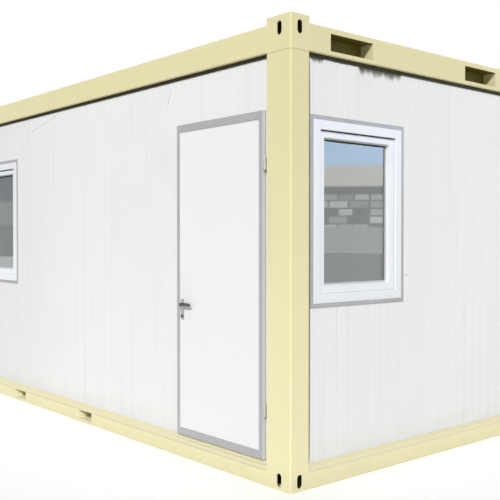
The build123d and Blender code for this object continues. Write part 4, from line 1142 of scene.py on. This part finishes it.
# Sealant smears on the right end wall: start and end, shortest and longest drop, seed, thickness
SMEARS = (
    (-1.062, -0.9, 0.02, 0.05, 3, 2 * MM),
    (-0.86, -0.6, 0.004, 0.016, 6, 1.6 * MM),
    (-0.62, -0.17, 0.03, 0.09, 8, 2.4 * MM),
)
SMEAR_END = 30 * MM
SMEAR_SKIN = 0.15 * MM
SMEAR_BITE = 0.1 * MM
# Film on the walls: the wall, both ends as (along, level), half width, seed
FILM_SCRAPS = (
    ("front", (1.739, 2.409), (1.788, 2.521), 4 * MM, 5),
    ("right", (-0.16, 1.246), (-0.09, 1.247), 2.4 * MM, 2),
)
FILM_CREASE = ("front", (-0.498, 2.431), (0.142, 2.556), 3.2 * MM, 4)
FILM_HALF_THICKNESS = 0.3 * MM
# Dark strips of painted shade beside the posts on the end walls
SHADE_STRIP_HALF_WIDTH = 18 * MM
SHADE_STRIP_PROUD = 1.5 * MM


def ragged(along, seed, shortest, longest):
    """Smooth uneven run of values between two limits: a few sines with seeded phases, summed and scaled."""
    random = np.random.default_rng(seed)
    waves = 2 * np.pi * np.array([7, 17, 37, 71, 113])[:, None] * along
    phase = random.uniform(0, 2 * np.pi, 5)[:, None]
    sums = (np.sin(waves + phase) / np.array([1, 1.5, 2, 3, 4])[:, None]).sum(axis=0)
    share = (sums - sums.min()) / (sums.max() - sums.min())
    return shortest + (longest - shortest) * share


def smear(shell, wall, start, end, shortest, longest, seed, thick):
    """Patch that clings to the sheet: a ragged lower edge, a lumpy front that thins out, soil that fades."""
    along = np.linspace(start, end, 90)
    share = np.linspace(0, 1, 13)[:, None]
    taper = np.clip(np.minimum(along - start, end - along) / SMEAR_END, 0.02, 1)
    drop = ragged(along, seed, shortest, longest) * taper
    level = SEAL_FOOT - share * drop
    lumps = 0.55 + 0.45 * np.sin(along * 310 + 9 * share + seed) * np.sin(along * 97 + 23 * share)
    edge = np.clip(4 * (1 - share), 0, 1) * taper
    front = PANEL_FACE - SHEET_PROUD - SMEAR_SKIN - thick * lumps * edge
    back = np.full_like(front, PANEL_FACE - SMEAR_BITE)
    front_points = on_wall(wall, along[None, :], front, level)
    back_points = on_wall(wall, along[None, :], back, level)
    rings = np.concatenate([front_points, back_points[::-1]], axis=0)
    fading = (1 - share) * np.sqrt(taper)
    soil = np.concatenate([fading, fading[::-1]], axis=0)
    shell.loft(np.swapaxes(rings, 0, 1), soil.T)


def ribbon(shell, wall, start, end, half_width, seed):
    """Thin scrap along a line on the sheet: an oval section of ragged width that tapers at both ends."""
    share = np.linspace(0, 1, 48)
    turn = full_turn(8)
    start, run = np.array(start), np.subtract(end, start)
    heading = run / np.linalg.norm(run)
    taper = np.sqrt(np.clip(6 * share * (1 - share), 0.02, 1))
    swing = (ragged(share, seed, 0.4, 1) * half_width * taper)[:, None] * np.cos(turn)
    along = start[0] + run[0] * share[:, None] - heading[1] * swing
    level = start[1] + run[1] * share[:, None] + heading[0] * swing
    depth = PANEL_FACE - SHEET_PROUD - FILM_HALF_THICKNESS * np.sin(turn)
    shell.loft(on_wall(wall, along, depth, level))


def site_marks():
    """Sealant smears under the end roof rail, and scraps of film and a crease in it on the walls."""
    smears = Shell()
    for values in SMEARS:
        smear(smears, "right", *values)
    make_piece("sealant_smears", smears, SEALANT)
    scraps = Shell()
    for values in FILM_SCRAPS:
        ribbon(scraps, *values)
    make_piece("film_scraps", scraps, GASKET_GREY)
    crease = Shell()
    ribbon(crease, *FILM_CREASE)
    make_piece("film_crease", crease, GASKET_GREY)


def post_shade_strips():
    """Dark strip of painted shade up each joint of an end wall and a post: a rounded oblong from base to head
    seal.
    """
    shell = Shell()
    half_height = (SEAL_FOOT - BLOCK_BASE_TOP) / 2
    middle = BLOCK_BASE_TOP + half_height
    front = PANEL_FACE - SHEET_PROUD - SHADE_STRIP_PROUD
    for wall in ("right", "left"):
        for along in (SHADE_STRIP_HALF_WIDTH - END_RAIL_END, END_RAIL_END - SHADE_STRIP_HALF_WIDTH):
            rounded_bar(shell, wall, along, middle, SHADE_STRIP_HALF_WIDTH, half_height, PANEL_FACE, front)
    make_piece("corner_shade_strips", shell, SHADE_STRIP_OLIVE)


site_marks()
post_shade_strips()

# Light that only the panes and the metal mirror: each band takes over between two heights of the sky's sphere
WHITE = (1, 1, 1, 1)
UPPER_SKY = (0.9, 0.9, 0.9, 1)
PALE_GROUND = (2.5, 2.7, 2.65, 1)
PALE_BLOCKS = {
    "Color1": (1.3, 1.45, 1.45, 1),
    "Color2": (4.4, 4.5, 4.2, 1),
    "Mortar": (1.5, 1.6, 1.55, 1),
    "Scale": 1.0,
    "Mortar Size": 0.0014,
    "Mortar Smooth": 0.6,
    "Bias": -0.25,
    "Brick Width": 0.013,
    "Row Height": 0.0095,
}
BLOCKS_LAYOUT = {"offset": 0.4, "squash": 1.3}
BLOCKS_RISE = (0.012, 0.018)
SIDE_FADE = (-0.3, 0.3)
BRIGHT_BANDS = (
    (0.053, 0.057, (1.3, 1.35, 1.3, 1)),
    (0.063, 0.067, (3.95, 3.8, 3.5, 1)),
    (0.086, 0.094, (3.2, 4.4, 5.9, 1)),
    (0.16, 0.3, UPPER_SKY),
)
DIM_GROUND = (0.6, 0.61, 0.61, 1)
DIM_BANDS = (
    (0.014, 0.02, (0.86, 0.88, 0.86, 1)),
    (0.042, 0.047, (0.4, 0.44, 0.47, 1)),
    (0.1, 0.3, UPPER_SKY),
)
FILL_LIGHT = (0.42, 0.42, 0.42, 1)
FLOOR_REACH = 60.0
FLOOR_TONE = (0.97, 0.97, 0.97, 1)
FLOOR_BOUNCE = (0.58, 0.58, 0.57, 1)
FLOOR_MIRRORED = (0.5, 0.53, 0.53, 1)
SUN_STRENGTH = 2.65
SUN_SPREAD = math.radians(4)
SUN_TURN = (math.radians(56.7), 0, math.radians(41.1))
SENSOR_WIDTH = 36.0
LENS_LENGTH = 58.03
CAMERA_PLACE = (6.42, -4.43, 1.485)
CAMERA_TURN = (math.radians(90 - 0.765), 0, math.radians(49.45))


def light_ray(finish, kind):
    """1 for rays of one kind, 0 for the others."""
    return finish.node("ShaderNodeLightPath", output=f"Is {kind} Ray")


def stage_floor():
    """Wide pale square under the cabin: white to the lens, plain grey to the light that it throws back."""
    mesh = bpy.data.meshes.new("studio_floor")
    corners = FLOOR_REACH * np.array([(-1, -1, 0), (1, -1, 0), (1, 1, 0), (-1, 1, 0)])
    mesh.from_pydata(corners.tolist(), [], [(0, 1, 2, 3)])
    pale = Finish("studio_floor_finish", Roughness=0.9, Emission_Strength=1.0)
    shown = light_ray(pale, "Camera") + light_ray(pale, "Glossy") + light_ray(pale, "Transmission")
    tone = pale.mix(shown, FLOOR_BOUNCE, pale.mix(pale.noise(0.4, 3), FLOOR_TONE, WHITE))
    glow = pale.mix(light_ray(pale, "Glossy"), (0, 0, 0, 1), FLOOR_MIRRORED)
    mesh.materials.append(pale.give(Base_Color=tone, Emission_Color=glow))
    floor = bpy.data.objects.new("studio_floor", mesh)
    bpy.context.scene.collection.objects.link(floor)


def stage_sun():
    """One broad sun over the camera's left shoulder."""
    sun = bpy.data.lights.new("sun", "SUN")
    sun.energy = SUN_STRENGTH
    sun.angle = SUN_SPREAD
    lamp = bpy.data.objects.new("sun", sun)
    lamp.rotation_euler = SUN_TURN
    bpy.context.scene.collection.objects.link(lamp)


def light_bands(sky, height, lowest, bands):
    """Light by height: each band takes over from the one under it."""
    light = lowest
    for low, high, colour in bands:
        light = sky.mix(sky.step(height, low, high), light, colour)
    return light


def stage_world():
    """Even fill light, white to the lens, with mirrored bands: bright off the right end, dim elsewhere."""
    world = bpy.data.worlds.new("studio_world")
    world.use_nodes = True
    bpy.context.scene.world = world
    sky = WorldFinish(world)
    towards = sky.node("ShaderNodeTexCoord", output="Generated")
    along, across, height = (sky.node("ShaderNodeSeparateXYZ", None, {0: towards}, part) for part in range(3))
    place = sky.node("ShaderNodeCombineXYZ", None, {0: across, 1: height})
    blocks = sky.node("ShaderNodeTexBrick", BLOCKS_LAYOUT, {"Vector": place, **PALE_BLOCKS})
    bright = light_bands(sky, height, PALE_GROUND, ((*BLOCKS_RISE, blocks), *BRIGHT_BANDS))
    dim = light_bands(sky, height, DIM_GROUND, DIM_BANDS)
    mirrored = sky.mix(sky.step(along, *SIDE_FADE), dim, bright)
    seen = sky.mix(light_ray(sky, "Glossy"), FILL_LIGHT, mirrored)
    seen = sky.mix(light_ray(sky, "Camera") + light_ray(sky, "Transmission"), seen, WHITE)
    sky.join(seen, world.node_tree.nodes["Background"].inputs["Color"])


def stage_camera():
    """Camera at the photograph's angle, and the plain view transform."""
    lens = bpy.data.cameras.new("camera")
    lens.sensor_width = SENSOR_WIDTH
    lens.lens = LENS_LENGTH
    camera = bpy.data.objects.new("camera", lens)
    camera.location = CAMERA_PLACE
    camera.rotation_euler = CAMERA_TURN
    bpy.context.scene.collection.objects.link(camera)
    bpy.context.scene.camera = camera
    bpy.context.scene.view_settings.view_transform = "Standard"


stage_floor()
stage_sun()
stage_world()
stage_camera()
